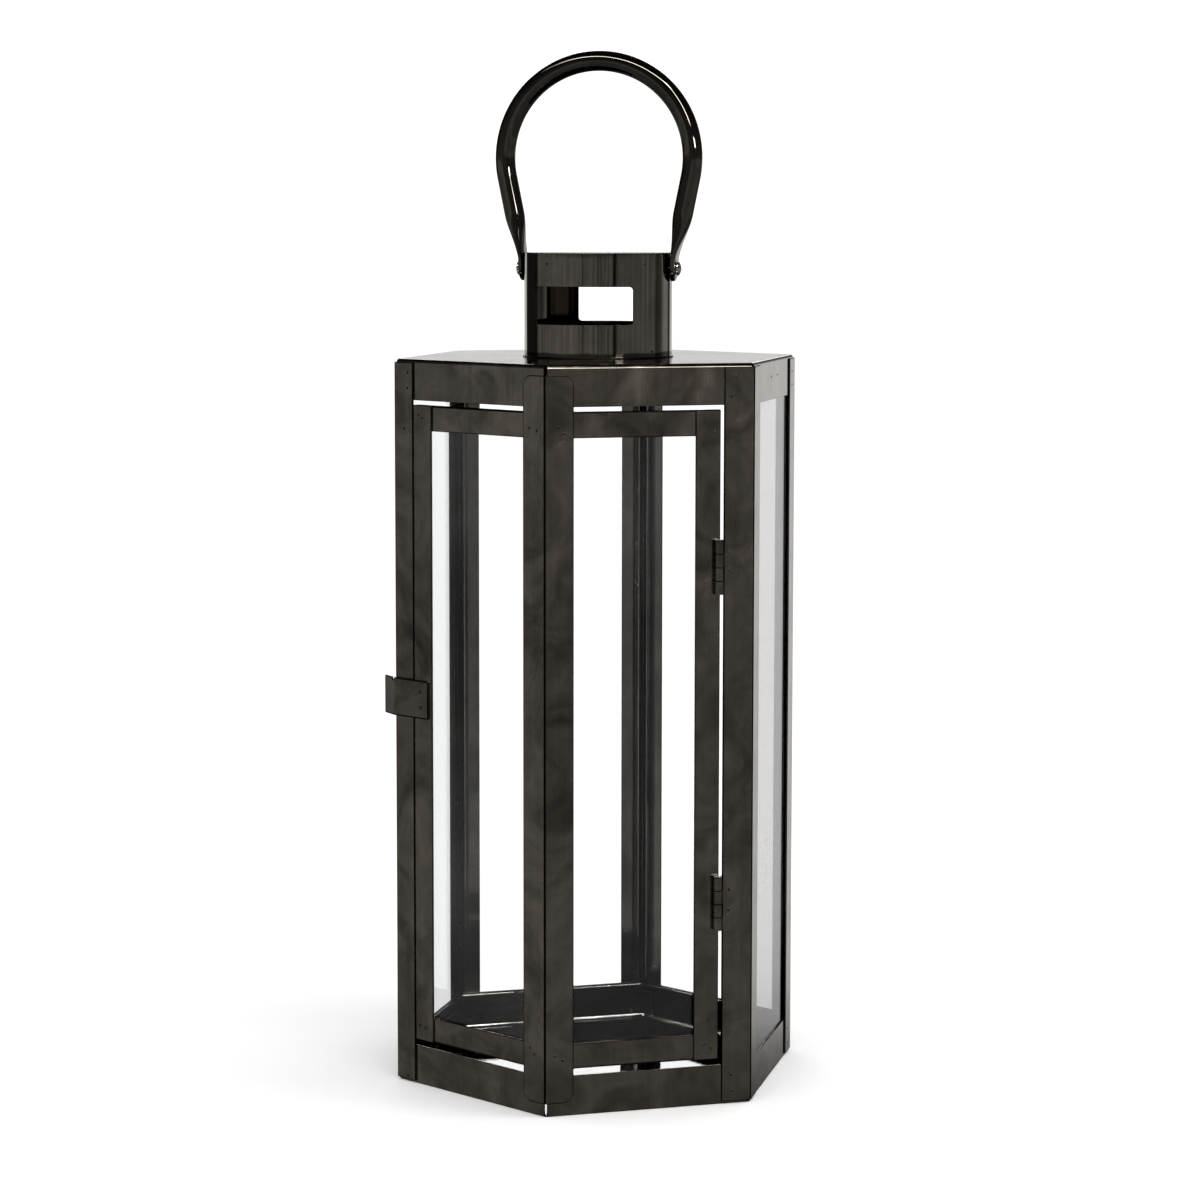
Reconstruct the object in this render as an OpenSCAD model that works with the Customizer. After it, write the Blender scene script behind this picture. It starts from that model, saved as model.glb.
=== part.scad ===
// Hexagonal candle lantern in folded black sheet metal, with glass on all six faces,
// an L-shaped door over the two front faces, a vented collar and a swinging ring handle.
// Origin: centre of the underside of the base. +Z is up. The front corner points to -Y
// and the handle turns about a line along X.

/* [Body] */
// Width of one side of the hexagon, measured over the corner posts
side = 125; // [110:1:145]
// Height of the lantern body, from the floor to the flat top
body_h = 433; // [380:1:480]
// Thickness of the folded sheet metal
sheet = 0.9; // [0.7:0.05:1.0]
// Height of the band that turns down from the cap
cap_band_h = 24; // [20:0.5:30]
// Height of the wall that turns up from the base
base_band_h = 23.5; // [20:0.5:30]
// Outer radius of the folds of the cap and the base
fold_r = 2.2; // [1.5:0.1:3]
// Open slit between two neighbouring bands, at each corner
band_slit = 1.2; // [0.6:0.1:2]

/* [Corner posts] */
// Width of each flange of a corner post
post_w = 16; // [13:0.5:18]
// Width of the hinge post's flange beside the door
hinge_post_w = 18; // [16.5:0.5:19]
// Height of a post's foot above the floor
post_foot = 1.5; // [0.5:0.1:3]
// Distance from the lantern's top down to the head of a post
post_head = 2; // [1:0.1:4]

/* [Glazing] */
// Thickness of the glass
glass_t = 2; // [1.5:0.1:2.5]
// Thickness of the thin strips that hold the glass
strip_t = 0.6; // [0.4:0.1:0.8]
// Width of a strip's lip along the glass
lip_w = 8; // [6.5:0.5:10]
// Room from the edge of a pane to the middle line of the corner
pane_room = 1.7; // [1.2:0.1:3]
// Height of the ledge that carries a fixed pane
ledge_z = 17.8; // [14:0.2:19]
// Height of the ledge's lip behind the glass
ledge_lip = 4; // [3:0.5:5]
// Height of the ledge's leg on the wall
ledge_leg = 5; // [3:0.5:8]
// How far a fixed pane reaches up behind the cap's band
pane_tuck = 4; // [3:0.5:8]
// Free height above a fixed pane, for lifting it in
pane_lift = 1; // [0.5:0.1:2]

/* [Door] */
// Gap between the door and the base's wall
door_gap_bottom = 3.9; // [2:0.1:6]
// Gap between the door and the cap's band
door_gap_top = 2.6; // [2:0.1:5]
// Gap between the door and the latch post
door_gap_latch = 0.9; // [0.5:0.1:2]
// Gap between the door and the hinge post
door_gap_hinge = 2.6; // [2.4:0.1:3.4]
// How far the door's outer faces stand proud of the posts
door_proud = 0.4; // [0.3:0.05:0.45]
// Width of the door's stiles
stile_w = 15; // [12:0.5:20]
// Height of the door's rails
rail_h = 15; // [10:0.5:20]
// Width of each flange of the door's corner post
door_post_w = 17; // [14:0.5:22]
// Height of the door's corner post above the floor
door_post_foot = 8; // [4:0.5:14]
// Distance from the lantern's top down to the door's corner post
door_post_head = 6; // [4:0.5:12]
// Radius of the rounded corners of the door's corner post
door_post_round = 6; // [3:0.5:9]
// Clipped corners of the door's stiles
stile_clip = 1.2; // [0.5:0.1:2]

/* [Hinges] */
// Length of a hinge
hinge_len = 31.2; // [24:0.2:40]
// Outer radius of a hinge's knuckles
knuckle_r = 2.5; // [2.2:0.1:2.8]
// Radius of a hinge pin
pin_r = 1; // [0.8:0.1:1.3]
// Radial room of the pin in the door's knuckles
pin_room = 0.05; // [0.02:0.01:0.1]
// Free length between two knuckles
knuckle_gap = 0.4; // [0.3:0.05:0.8]
// Room between a knuckle and the door's outer face
knuckle_clear = 0.4; // [0.35:0.05:0.6]
// Height of the upper hinge's middle
hinge_z_high = 316; // [260:1:350]
// Height of the lower hinge's middle
hinge_z_low = 120; // [80:1:180]
// Width of the hinge leaf behind the post
leaf_w = 14; // [10:0.5:15]

/* [Latch] */
// Length of the latch plate along the door, from the lantern's corner
latch_len = 29.3; // [27:0.1:30]
// Height of the latch plate
latch_h = 22.8; // [16:0.2:34]
// Height of the latch plate's middle
latch_z = 232.5; // [180:0.5:280]
// Length of the thumb tab past the corner
latch_tab = 13; // [8:0.5:20]
// Angle by which the thumb tab is bent back
latch_bend = 18; // [8:1:30]
// Radius of the rivets' shanks
rivet_r = 1; // [0.8:0.1:1.3]
// Distance between the two rivets
rivet_pitch = 9.2; // [7:0.2:12]

/* [Collar] */
// Outer radius of the collar
collar_r = 44.3; // [38:0.1:50]
// Height of the collar above the lantern's top
collar_h = 62; // [50:0.5:80]
// Height of the collar's windows
window_h = 22.2; // [16:0.2:28]
// Height of a window's sill above the lantern's top
window_sill = 20; // [14:0.5:24]
// Width of the front window
window_front = 59; // [50:0.5:64]
// Width of the back window
window_back = 44; // [36:0.5:56]
// Corner radius of the windows
window_round = 2; // [1:0.1:4]
// Depth of the lid's rim inside the collar
lid_rim = 14; // [13.5:0.5:16]
// Height of the foot ring's spigot inside the collar
spigot_h = 8; // [5:0.5:14]
// Width of the foot ring's flange under the cap
spigot_flange = 7; // [4:0.5:10]

/* [Handle] */
// Distance from the collar's top down to the handle's screws
pivot_drop = 9.5; // [8:0.1:9.6]
// Diameter of the handle's tube
tube_d = 12; // [9:0.5:13]
// Radius of the ring, to the middle of the tube
ring_r = 57.4; // [54:0.2:62]
// Height of the ring's middle above the screws
ring_rise = 65.5; // [62:0.5:72]
// Thickness of the flattened ends
strap_t = 3.4; // [2.6:0.1:4]
// Width of the flattened ends
strap_w = 16; // [14:0.5:18]
// Distance from the screw down to the tip of a flattened end
strap_tip = 7.5; // [7:0.1:9]
// Length of the flat part above the screw
strap_flat = 6.2; // [5:0.1:8]
// Length over which the round tube turns flat
flat_run = 27; // [20:1:36]
// Room between a flattened end and the collar
strap_clear = 0.5; // [0.4:0.05:0.8]
// Radius of the screws
screw_r = 2; // [1.8:0.1:2.2]
// Radial room of the screws in the handle
screw_room = 0.05; // [0.02:0.01:0.1]
// Radius of the screws' heads
head_r = 4; // [3.5:0.1:4.5]
// Height of the screws' heads
head_h = 2.3; // [1.8:0.1:3]
// Width of the cross cut in the heads
recess_w = 0.9; // [0.6:0.1:1.3]
// Depth of the cross cut in the heads
recess_deep = 1.1; // [0.8:0.1:1.5]
// Width of the nuts across their flats
nut_af = 7; // [6:0.1:8]
// Thickness of the nuts
nut_t = 3.2; // [2.6:0.1:4]

/* [Hidden] */
$fn = 64;

// Colours
black_nickel = [0.26, 0.24, 0.22];
dark_nickel = [0.20, 0.19, 0.18];
clear_glass = [0.80, 0.88, 0.88, 0.35];
screw_steel = [0.72, 0.72, 0.70];

// Depths are measured inwards from the posts' outer faces, square to each face
apothem = side * cos(30);
band_q = sheet;                       // outer face of the cap's and base's bands
pane_q = band_q + sheet;              // outer face of a fixed pane
strip_q = pane_q + glass_t;           // lip behind a fixed pane
door_q = -door_proud;                 // outer face of the door
rail_q = door_q + sheet;              // outer face of the door's rails
door_pane_q = rail_q + sheet;         // outer face of a door pane
door_strip_q = door_pane_q + glass_t; // lip behind a door pane

// Angles of the outward normals of the six faces, and of the six corners
FRONT_LEFT = 240;
FRONT_RIGHT = 300;
RIGHT = 0;
BACK_RIGHT = 60;
BACK_LEFT = 120;
LEFT = 180;
FIXED_FACES = [RIGHT, BACK_RIGHT, BACK_LEFT, LEFT];
ALL_FACES = [RIGHT, BACK_RIGHT, BACK_LEFT, LEFT, FRONT_LEFT, FRONT_RIGHT];
CORNER_LEFT = 210;
CORNER_FRONT = 270;
CORNER_HINGE = 330;
CORNER_RIGHT = 30;
CORNER_BACK = 90;
CORNER_BACK_LEFT = 150;

// Heights
band_z = body_h - cap_band_h;
door_z0 = base_band_h + door_gap_bottom;
door_z1 = band_z - door_gap_top;
pane_z1 = band_z + pane_tuck;
strip_z0 = base_band_h + strip_t;
strip_z1 = band_z - strip_t;
collar_z1 = body_h + collar_h;
pivot_z = collar_z1 - pivot_drop;

// Widths along a face, measured from one of its corners
latch_edge = post_w + door_gap_latch;       // outer edge of the latch stile
hinge_edge = hinge_post_w + door_gap_hinge; // outer edge of the hinge stile
pane_margin = (strip_q * sin(30) + pane_room) / cos(30);
door_pane_margin = (door_strip_q * sin(30) + pane_room) / cos(30);
rail_margin = (door_pane_q * sin(30) + 2 * strip_t) / cos(30);
pane_play = 0.5;
fold_lap = 0.3;                       // how far the flat runs into the round of a fold

// Hinge line: its distance from the hinge corner, and how far it stands out
leaf_t = sheet;
pin_in = knuckle_r - leaf_t;
hinge_w = hinge_edge + pin_in;
pin_out = door_proud + knuckle_r + knuckle_clear;
knuckle_len = (hinge_len - 3 * knuckle_gap) / 4;

// Collar and handle
collar_ri = collar_r - sheet;
rim_ri = collar_ri - sheet;
strap_x = collar_r + strap_clear + strap_t / 2;
knee_z = strap_flat;
big = 400;

// Frame of a face: x along it, y inwards from the posts' outer faces, z up
module on_face(a) {
  rotate([0, 0, a + 90]) translate([0, -apothem, 0]) children();
}

// Frame of a corner's right-hand face: x from the corner, y inwards, z up
module on_right_of(a) {
  rotate([0, 0, a + 90]) translate([0, -side, 0]) rotate([0, 0, 30]) children();
}

// The same for the left-hand face, with x again running away from the corner
module on_left_of(a) {
  rotate([0, 0, a + 90]) mirror([1, 0, 0]) translate([0, -side, 0]) rotate([0, 0, 30])
    children();
}

// A profile drawn as (depth, height), carried along a face over a length
module along(length) {
  rotate([90, 0, 90]) linear_extrude(length) children();
}

// A point at distance w from a corner along its right-hand face, at depth q
function corner_point(w, q) =
  [w * cos(30) - q * sin(30), -side + w * sin(30) + q * cos(30)];

// The same point on the left-hand face
function mirrored(p) = [-p[0], p[1]];

// A rectangle given by its two corners
module box_2d(x0, y0, x1, y1) {
  translate([x0, y0]) square([x1 - x0, y1 - y0]);
}

// Section of one turned-down band: a wall, then a quarter-round fold into the flat
module band_section(height) {
  box_2d(band_q, fold_r, band_q + sheet, height);
  translate([band_q + fold_r, fold_r]) intersection() {
    difference() {
      circle(fold_r);
      circle(fold_r - sheet);
    }
    box_2d(-fold_r, -fold_r, 0, 0);
  }
}

// A shallow six-sided tray: a flat floor and six walls with open slits at the corners
module tray(height) {
  flat_a = apothem - band_q - fold_r + fold_lap;
  band_len = 2 * (apothem - band_q - sheet) * tan(30) - band_slit;
  rotate([0, 0, 30]) linear_extrude(sheet) circle(flat_a / cos(30), $fn = 6);
  for (a = ALL_FACES)
    on_face(a) translate([-band_len / 2, 0, 0]) along(band_len) band_section(height);
}

module top_cap() color(black_nickel) {
  difference() {
    translate([0, 0, body_h]) mirror([0, 0, 1]) tray(cap_band_h);
    translate([0, 0, body_h - 3 * sheet]) cylinder(h = 6 * sheet, r = collar_ri, $fn = 96);
  }
}

module base_tray() color(black_nickel) {
  tray(base_band_h);
}

// A 120 degree corner post; its left and right flanges may differ in width
module post(w_left, w_right, q, z0, z1) {
  outline = [
    corner_point(q * tan(30), q), corner_point(w_right, q), corner_point(w_right, q + sheet),
    corner_point((q + sheet) * tan(30), q + sheet), mirrored(corner_point(w_left, q + sheet)),
    mirrored(corner_point(w_left, q))
  ];
  translate([0, 0, z0]) linear_extrude(z1 - z0) polygon(outline);
}

module frame_post(a, w_left = post_w, w_right = post_w) color(black_nickel) {
  rotate([0, 0, a + 90]) post(w_left, w_right, 0, post_foot, body_h - post_head);
}

module post_left() frame_post(CORNER_LEFT);
module post_hinge() frame_post(CORNER_HINGE, w_left = hinge_post_w);
module post_right() frame_post(CORNER_RIGHT);
module post_back() frame_post(CORNER_BACK);
module post_back_left() frame_post(CORNER_BACK_LEFT);

// A folded strip in the inner corner of a post: a doubled stem that stands in the
// corner, and two lips that hold the edges of the panes against the bands
module corner_strip(post_q, lip_q, z0, z1) {
  seat = post_q / cos(30);
  root = [0, -side + seat];
  shoulder = [strip_t, -side + seat + strip_t * tan(30)];
  throat = [strip_t, -side + lip_q / cos(30) + strip_t * tan(30)];
  right = [shoulder, throat, corner_point(lip_w, lip_q), corner_point(lip_w, lip_q + strip_t)];
  inner = corner_point((lip_q + strip_t) * tan(30), lip_q + strip_t);
  left = [for (i = [3:-1:0]) mirrored(right[i])];
  translate([0, 0, z0]) linear_extrude(z1 - z0) polygon(concat([root], right, [inner], left));
}

module frame_strip(a) color(dark_nickel) {
  rotate([0, 0, a + 90]) corner_strip(sheet, strip_q, strip_z0, strip_z1);
}

module strip_left() frame_strip(CORNER_LEFT);
module strip_hinge() frame_strip(CORNER_HINGE);
module strip_right() frame_strip(CORNER_RIGHT);
module strip_back() frame_strip(CORNER_BACK);
module strip_back_left() frame_strip(CORNER_BACK_LEFT);

module fixed_pane(a) color(clear_glass) {
  z0 = ledge_z + strip_t;
  w = side - 2 * pane_margin;
  on_face(a) translate([-w / 2, pane_q, z0]) cube([w, glass_t, pane_z1 - z0]);
}

module pane_right() fixed_pane(RIGHT);
module pane_back_right() fixed_pane(BACK_RIGHT);
module pane_back_left() fixed_pane(BACK_LEFT);
module pane_left() fixed_pane(LEFT);

// Section of a ledge: a leg on the wall, a shelf under the glass, a lip behind it
module ledge_section() {
  box_2d(pane_q, -ledge_leg, pane_q + strip_t, 0);
  box_2d(pane_q, 0, strip_q + strip_t, strip_t);
  box_2d(strip_q, strip_t, strip_q + strip_t, strip_t + ledge_lip);
}

module ledge() {
  w = side - 2 * pane_margin;
  translate([-w / 2, 0, 0]) along(w) ledge_section();
}

module ledges_lower() color(dark_nickel) {
  for (a = FIXED_FACES) on_face(a) translate([0, 0, ledge_z]) ledge();
}

module ledges_upper() color(dark_nickel) {
  z = pane_z1 + pane_lift + strip_t;
  for (a = FIXED_FACES) on_face(a) translate([0, 0, z]) mirror([0, 0, 1]) ledge();
}

// A rectangle with rounded corners, centred on the origin
module rounded_2d(width, height, r) {
  square([width - 2 * r, height], center = true);
  square([width, height - 2 * r], center = true);
  for (x = [-1, 1]) for (y = [-1, 1])
    translate([x * (width / 2 - r), y * (height / 2 - r)]) circle(r, $fn = 32);
}

// A window's outline, standing up in the XZ plane and running out along one side of Y
module window_cut(width, way) {
  z = body_h + window_sill + window_h / 2;
  translate([0, 0, z]) rotate([way * 90, 0, 0]) linear_extrude(2 * collar_r)
    rounded_2d(width, window_h, window_round);
}

// Both screw holes in one go
module screw_holes(r) {
  translate([-big / 2, 0, pivot_z]) rotate([0, 90, 0]) cylinder(h = big, r = r, $fn = 32);
}

module collar() color(black_nickel) {
  difference() {
    translate([0, 0, body_h]) cylinder(h = collar_h, r = collar_r, $fn = 96);
    translate([0, 0, body_h - 1]) cylinder(h = collar_h + 2, r = collar_ri, $fn = 96);
    window_cut(window_front, 1);
    window_cut(window_back, -1);
    screw_holes(screw_r + screw_room);
  }
}

module collar_lid() color(black_nickel) {
  difference() {
    translate([0, 0, collar_z1 - lid_rim]) cylinder(h = lid_rim, r = collar_ri, $fn = 96);
    translate([0, 0, collar_z1 - lid_rim - 1])
      cylinder(h = lid_rim + 1 - sheet, r = rim_ri, $fn = 96);
    screw_holes(screw_r + screw_room);
  }
}

module collar_ring() color(black_nickel) {
  z0 = body_h - 2 * sheet;
  difference() {
    union() {
      translate([0, 0, z0]) cylinder(h = sheet, r = collar_ri + spigot_flange, $fn = 96);
      translate([0, 0, z0]) cylinder(h = 2 * sheet + spigot_h, r = collar_ri, $fn = 96);
    }
    translate([0, 0, z0 - 1]) cylinder(h = 2 * sheet + spigot_h + 2, r = rim_ri, $fn = 96);
  }
}

// Both sides of something that is mirrored across the YZ plane
module both_sides() {
  children();
  mirror([1, 0, 0]) children();
}

nut_corner = nut_af / 2 / cos(30);
nut_x = sqrt(pow(rim_ri, 2) - pow(nut_corner, 2));
head_x = strap_x + strap_t / 2 + 0.3;

// A pan-head screw with a cross recess, lying along X with its head outwards
module pan_screw() {
  crown = head_h * 0.55;
  dome_r = (pow(head_r, 2) + pow(crown, 2)) / (2 * crown);
  tail = nut_x - nut_t - 1.5;
  translate([tail, 0, 0]) rotate([0, 90, 0]) cylinder(h = head_x - tail, r = screw_r, $fn = 32);
  translate([head_x, 0, 0]) rotate([0, 90, 0]) difference() {
    rotate_extrude($fn = 48) intersection() {
      translate([0, head_h - dome_r]) circle(dome_r, $fn = 96);
      square([head_r, head_h]);
    }
    for (a = [0, 90]) rotate([0, 0, a + 45]) translate([0, 0, head_h])
      cube([head_r * 1.1, recess_w, 2 * recess_deep], center = true);
  }
}

module handle_screws() color(screw_steel) {
  both_sides() translate([0, 0, pivot_z]) pan_screw();
}

module handle_nuts() color(screw_steel) {
  both_sides() translate([nut_x - nut_t, 0, pivot_z]) rotate([0, 90, 0]) difference() {
    rotate([0, 0, 30]) cylinder(h = nut_t, r = nut_corner, $fn = 6);
    translate([0, 0, -1]) cylinder(h = nut_t + 2, r = screw_r, $fn = 32);
  }
}

// Frame of a hinge: z along the pin from the hinge's foot, x towards the hinge corner
module on_hinge(z) {
  on_left_of(CORNER_HINGE) translate([hinge_w, -pin_out, z - hinge_len / 2]) mirror([1, 0, 0])
    children();
}

// Foot of knuckle number i, counted from below
function knuckle_z(i) = i * (knuckle_len + knuckle_gap);

module knuckle(i, bore_r) {
  translate([0, 0, knuckle_z(i)]) children();
}

// Fixed leaf: two knuckles, legs that reach through the gap, a flat behind the post
module post_leaf() {
  edge = hinge_w - hinge_post_w;
  back = pin_out + band_q;
  difference() {
    union() {
      for (i = [0, 2]) translate([0, 0, knuckle_z(i)]) {
        cylinder(h = knuckle_len, r = knuckle_r, $fn = 48);
        linear_extrude(knuckle_len) polygon([
          [0.3 * knuckle_r, 0.65 * knuckle_r], [0.85 * knuckle_r, 0], [edge, pin_out - leaf_t],
          [edge, back + leaf_t], [edge - leaf_t, back + leaf_t], [edge - leaf_t, pin_out]
        ]);
      }
      translate([edge - leaf_t, back, 0]) cube([leaf_w, leaf_t, hinge_len]);
    }
    translate([0, 0, -1]) cylinder(h = hinge_len + 2, r = pin_r, $fn = 32);
  }
}

// Door leaf: two knuckles and a flat against the edge of the hinge stile
module door_leaf() {
  top = pin_out + rail_q;
  deep = pin_out + door_strip_q + sheet;
  difference() {
    union() {
      for (i = [1, 3]) translate([0, 0, knuckle_z(i)]) {
        cylinder(h = knuckle_len, r = knuckle_r, $fn = 48);
        translate([pin_in, 0, 0]) cube([leaf_t, deep, knuckle_len]);
      }
      translate([pin_in, top, 0]) cube([leaf_t, deep - top, hinge_len]);
    }
    translate([0, 0, -1]) cylinder(h = hinge_len + 2, r = pin_r + pin_room, $fn = 32);
  }
}

module hinge_pin() {
  cylinder(h = hinge_len, r = pin_r, $fn = 32);
}

module hinge_post_leaf_high() color(black_nickel) on_hinge(hinge_z_high) post_leaf();
module hinge_post_leaf_low() color(black_nickel) on_hinge(hinge_z_low) post_leaf();
module hinge_door_leaf_high() color(black_nickel) on_hinge(hinge_z_high) door_leaf();
module hinge_door_leaf_low() color(black_nickel) on_hinge(hinge_z_low) door_leaf();
module hinge_pin_high() color(dark_nickel) on_hinge(hinge_z_high) hinge_pin();
module hinge_pin_low() color(dark_nickel) on_hinge(hinge_z_low) hinge_pin();

// Waste outside a rounded corner at the free edge of a flange, at its upper end
module rounding_waste(w, z, r) {
  translate([w - r, door_q - 1, z - r]) difference() {
    cube([r + 1, sheet + 2, r + 1]);
    rotate([-90, 0, 0]) translate([0, 0, -1]) cylinder(h = sheet + 4, r = r, $fn = 48);
  }
}

// Four rounded corners on one flange of the door's corner post
module flange_waste() {
  z0 = door_post_foot;
  z1 = body_h - door_post_head;
  rounding_waste(door_post_w, z1, door_post_round);
  translate([0, 0, z0]) mirror([0, 0, 1]) rounding_waste(door_post_w, 0, door_post_round);
}

module door_corner_post() color(black_nickel) {
  difference() {
    rotate([0, 0, CORNER_FRONT + 90])
      post(door_post_w, door_post_w, door_q, door_post_foot, body_h - door_post_head);
    on_right_of(CORNER_FRONT) flange_waste();
    on_left_of(CORNER_FRONT) flange_waste();
  }
}

// A stile folded to a channel: a wide outer flange, a web at its edge, a lip behind
module stile(edge) {
  difference() {
    translate([0, 0, door_z0]) linear_extrude(door_z1 - door_z0) {
      box_2d(edge, door_q, edge + stile_w, rail_q);
      box_2d(edge, door_q, edge + sheet, door_strip_q + sheet);
      box_2d(edge, door_strip_q, edge + lip_w, door_strip_q + sheet);
    }
    for (z = [door_z0, door_z1]) translate([edge, 0, z]) rotate([0, 45, 0])
      cube([stile_clip * sqrt(2), big, stile_clip * sqrt(2)], center = true);
  }
}

module rivet_places() {
  u = latch_len - 6.3;
  for (s = [-1, 1]) translate([u, 0, latch_z + s * rivet_pitch / 2]) children();
}

module rivet_holes() {
  rivet_places() translate([0, -3, 0]) rotate([-90, 0, 0]) cylinder(h = 5, r = rivet_r, $fn = 32);
}

module door_latch_stile() color(black_nickel) {
  on_right_of(CORNER_LEFT) difference() {
    stile(latch_edge);
    rivet_holes();
  }
}

module door_hinge_stile() color(black_nickel) {
  on_left_of(CORNER_HINGE) stile(hinge_edge);
}

// A rail: a plate behind the stiles, with a shelf that turns in under the glass.
// It runs from the stile's web to the corner, and x is counted from the stile's corner
module rail(edge) {
  x0 = edge + sheet;
  translate([x0, 0, 0]) along(side - rail_margin - x0) {
    box_2d(rail_q, 0, door_pane_q, rail_h);
    box_2d(rail_q, 0, door_strip_q, sheet);
  }
}

module bottom_rail(edge) {
  translate([0, 0, door_z0]) rail(edge);
}

module top_rail(edge) {
  translate([0, 0, door_z1]) mirror([0, 0, 1]) rail(edge);
}

module door_rail_top_left() color(black_nickel)
  on_right_of(CORNER_LEFT) top_rail(latch_edge);
module door_rail_top_right() color(black_nickel)
  on_left_of(CORNER_HINGE) top_rail(hinge_edge);
module door_rail_bottom_left() color(black_nickel)
  on_right_of(CORNER_LEFT) bottom_rail(latch_edge);
module door_rail_bottom_right() color(black_nickel)
  on_left_of(CORNER_HINGE) bottom_rail(hinge_edge);

module door_pane(edge) color(clear_glass) {
  x0 = edge + sheet + pane_play;
  z0 = door_z0 + sheet;
  z1 = door_z1 - sheet - pane_play;
  translate([x0, door_pane_q, z0]) cube([side - door_pane_margin - x0, glass_t, z1 - z0]);
}

module door_pane_left() on_right_of(CORNER_LEFT) door_pane(latch_edge);
module door_pane_right() on_left_of(CORNER_HINGE) door_pane(hinge_edge);

module door_corner_strip() color(dark_nickel) {
  rotate([0, 0, CORNER_FRONT + 90]) corner_strip(rail_q, door_strip_q, door_z0, door_z1);
}

// Latch plate: lies on the stile, reaches over the post, and its tab is bent back
module latch_section() {
  c = cos(latch_bend);
  s = sin(latch_bend);
  tip = [-latch_tab * c, door_q + latch_tab * s];
  polygon([
    [latch_len, door_q], [latch_len, door_q - sheet],
    [-sheet * tan(latch_bend / 2), door_q - sheet], tip - sheet * [s, c], tip, [0, door_q]
  ]);
}

module latch_plate() color(black_nickel) {
  z1 = latch_z + latch_h / 2;
  on_right_of(CORNER_LEFT) difference() {
    translate([0, 0, latch_z - latch_h / 2]) linear_extrude(latch_h) latch_section();
    translate([-1.6, -10, z1]) rotate([-90, 0, 0]) cylinder(h = 20, r = 1.6, $fn = 32);
    rivet_holes();
  }
}

// A rivet: a shank through plate and stile, with a low head on each side
module rivet() {
  grip = 2 * sheet;
  translate([0, door_q - sheet, 0]) rotate([-90, 0, 0]) cylinder(h = grip, r = rivet_r, $fn = 32);
  translate([0, door_q - sheet, 0]) rotate([90, 0, 0]) intersection() {
    cylinder(h = 0.5 * rivet_r, r = 1.6 * rivet_r, $fn = 32);
    translate([0, 0, -2.3 * rivet_r]) sphere(2.8 * rivet_r, $fn = 48);
  }
  translate([0, rail_q, 0]) rotate([-90, 0, 0]) cylinder(h = 0.3 * rivet_r, r = 1.4 * rivet_r, $fn = 32);
}

module latch_rivets() color(dark_nickel) {
  on_right_of(CORNER_LEFT) rivet_places() rivet();
}

// ---- Ring handle: one tube, bent to a ring, with both ends flattened and rounded ----

// The legs leave the ring along a tangent that meets the flat ends at the knee
knee = [strap_x, knee_z];
knee_reach = norm([strap_x, ring_rise - knee_z]);
leg_lean = asin(ring_r / knee_reach) - atan2(strap_x, ring_rise - knee_z);
leg_len = sqrt(pow(knee_reach, 2) - pow(ring_r, 2));
arc_steps = 20;
leg_steps = 9;
tip_steps = 6;
tube_sides = 16;

// Right half of the middle line, from the top of the ring down to the tip: each entry
// is [x, height above the screw, angle of the tangent from straight down, distance
// still to go to the knee, distance to the tip]
function arc_row(i) =
  let (a = i / arc_steps * (90 + leg_lean), to_knee = leg_len + ring_r * (90 + leg_lean - a) * PI / 180)
  [ring_r * sin(a), ring_rise + ring_r * cos(a), a - 90, to_knee, big];
function leg_row(i) =
  let (d = leg_len * (1 - i / leg_steps))
  [strap_x + d * sin(leg_lean), knee_z + d * cos(leg_lean), i == leg_steps ? leg_lean / 2 : leg_lean, d, big];
function tip_row(i) =
  let (d = strap_w / 2 * (1 - sin(90 * i / tip_steps)))
  [strap_x, -strap_tip + d, 0, 0, d];
half_path = concat(
  [for (i = [1:arc_steps]) arc_row(i)],
  [for (i = [1:leg_steps]) leg_row(i)],
  [for (i = [0:tip_steps - 1]) tip_row(i)],
  [[strap_x, -strap_tip, 0, 0, 0.05]]
);

// How flat the tube is at distance d above the knee: 0 is round and 1 is flat
function flatness(d) = let (t = 1 - min(1, d / flat_run)) t * t * (3 - 2 * t);
function blend(a, b, f) = a + (b - a) * f;
function power(v, e) = sign(v) * pow(abs(v), e);

// One ring of points around the middle line; side_sign mirrors it to the left leg
function section(row, side_sign) =
  let (f = flatness(row[3]),
       r = strap_w / 2,
       full = blend(tube_d / 2, r, f),
       half_w = row[4] < r ? sqrt(pow(r, 2) - pow(r - row[4], 2)) : full,
       half_t = blend(tube_d / 2, strap_t / 2, f),
       e = blend(1, 0.55, f))
  [for (k = [0:tube_sides - 1])
    let (a = 360 * k / tube_sides,
         y = half_w * power(sin(a), e),
         n = half_t * power(cos(a), e))
    [side_sign * (row[0] + n * cos(row[2])), y, row[1] - n * sin(row[2])]];

path_rings = concat(
  [for (i = [len(half_path) - 1:-1:0]) section(half_path[i], -1)],
  [section([0, ring_rise + ring_r, -90, big, big], 1)],
  [for (i = [0:len(half_path) - 1]) section(half_path[i], 1)]
);

module handle_bail() color(black_nickel) {
  rings = len(path_rings);
  last = rings - 1;
  points = [for (ring = path_rings) each ring];
  walls = [for (i = [0:rings - 2]) for (k = [0:tube_sides - 1])
    let (j = (k + 1) % tube_sides, a = i * tube_sides, b = a + tube_sides)
    each [[a + k, b + k, b + j], [a + k, b + j, a + j]]];
  start_cap = [[for (k = [0:tube_sides - 1]) k]];
  end_cap = [[for (k = [tube_sides - 1:-1:0]) last * tube_sides + k]];
  difference() {
    translate([0, 0, pivot_z]) polyhedron(points, concat(start_cap, walls, end_cap), convexity = 6);
    screw_holes(screw_r + screw_room);
  }
}

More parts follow.
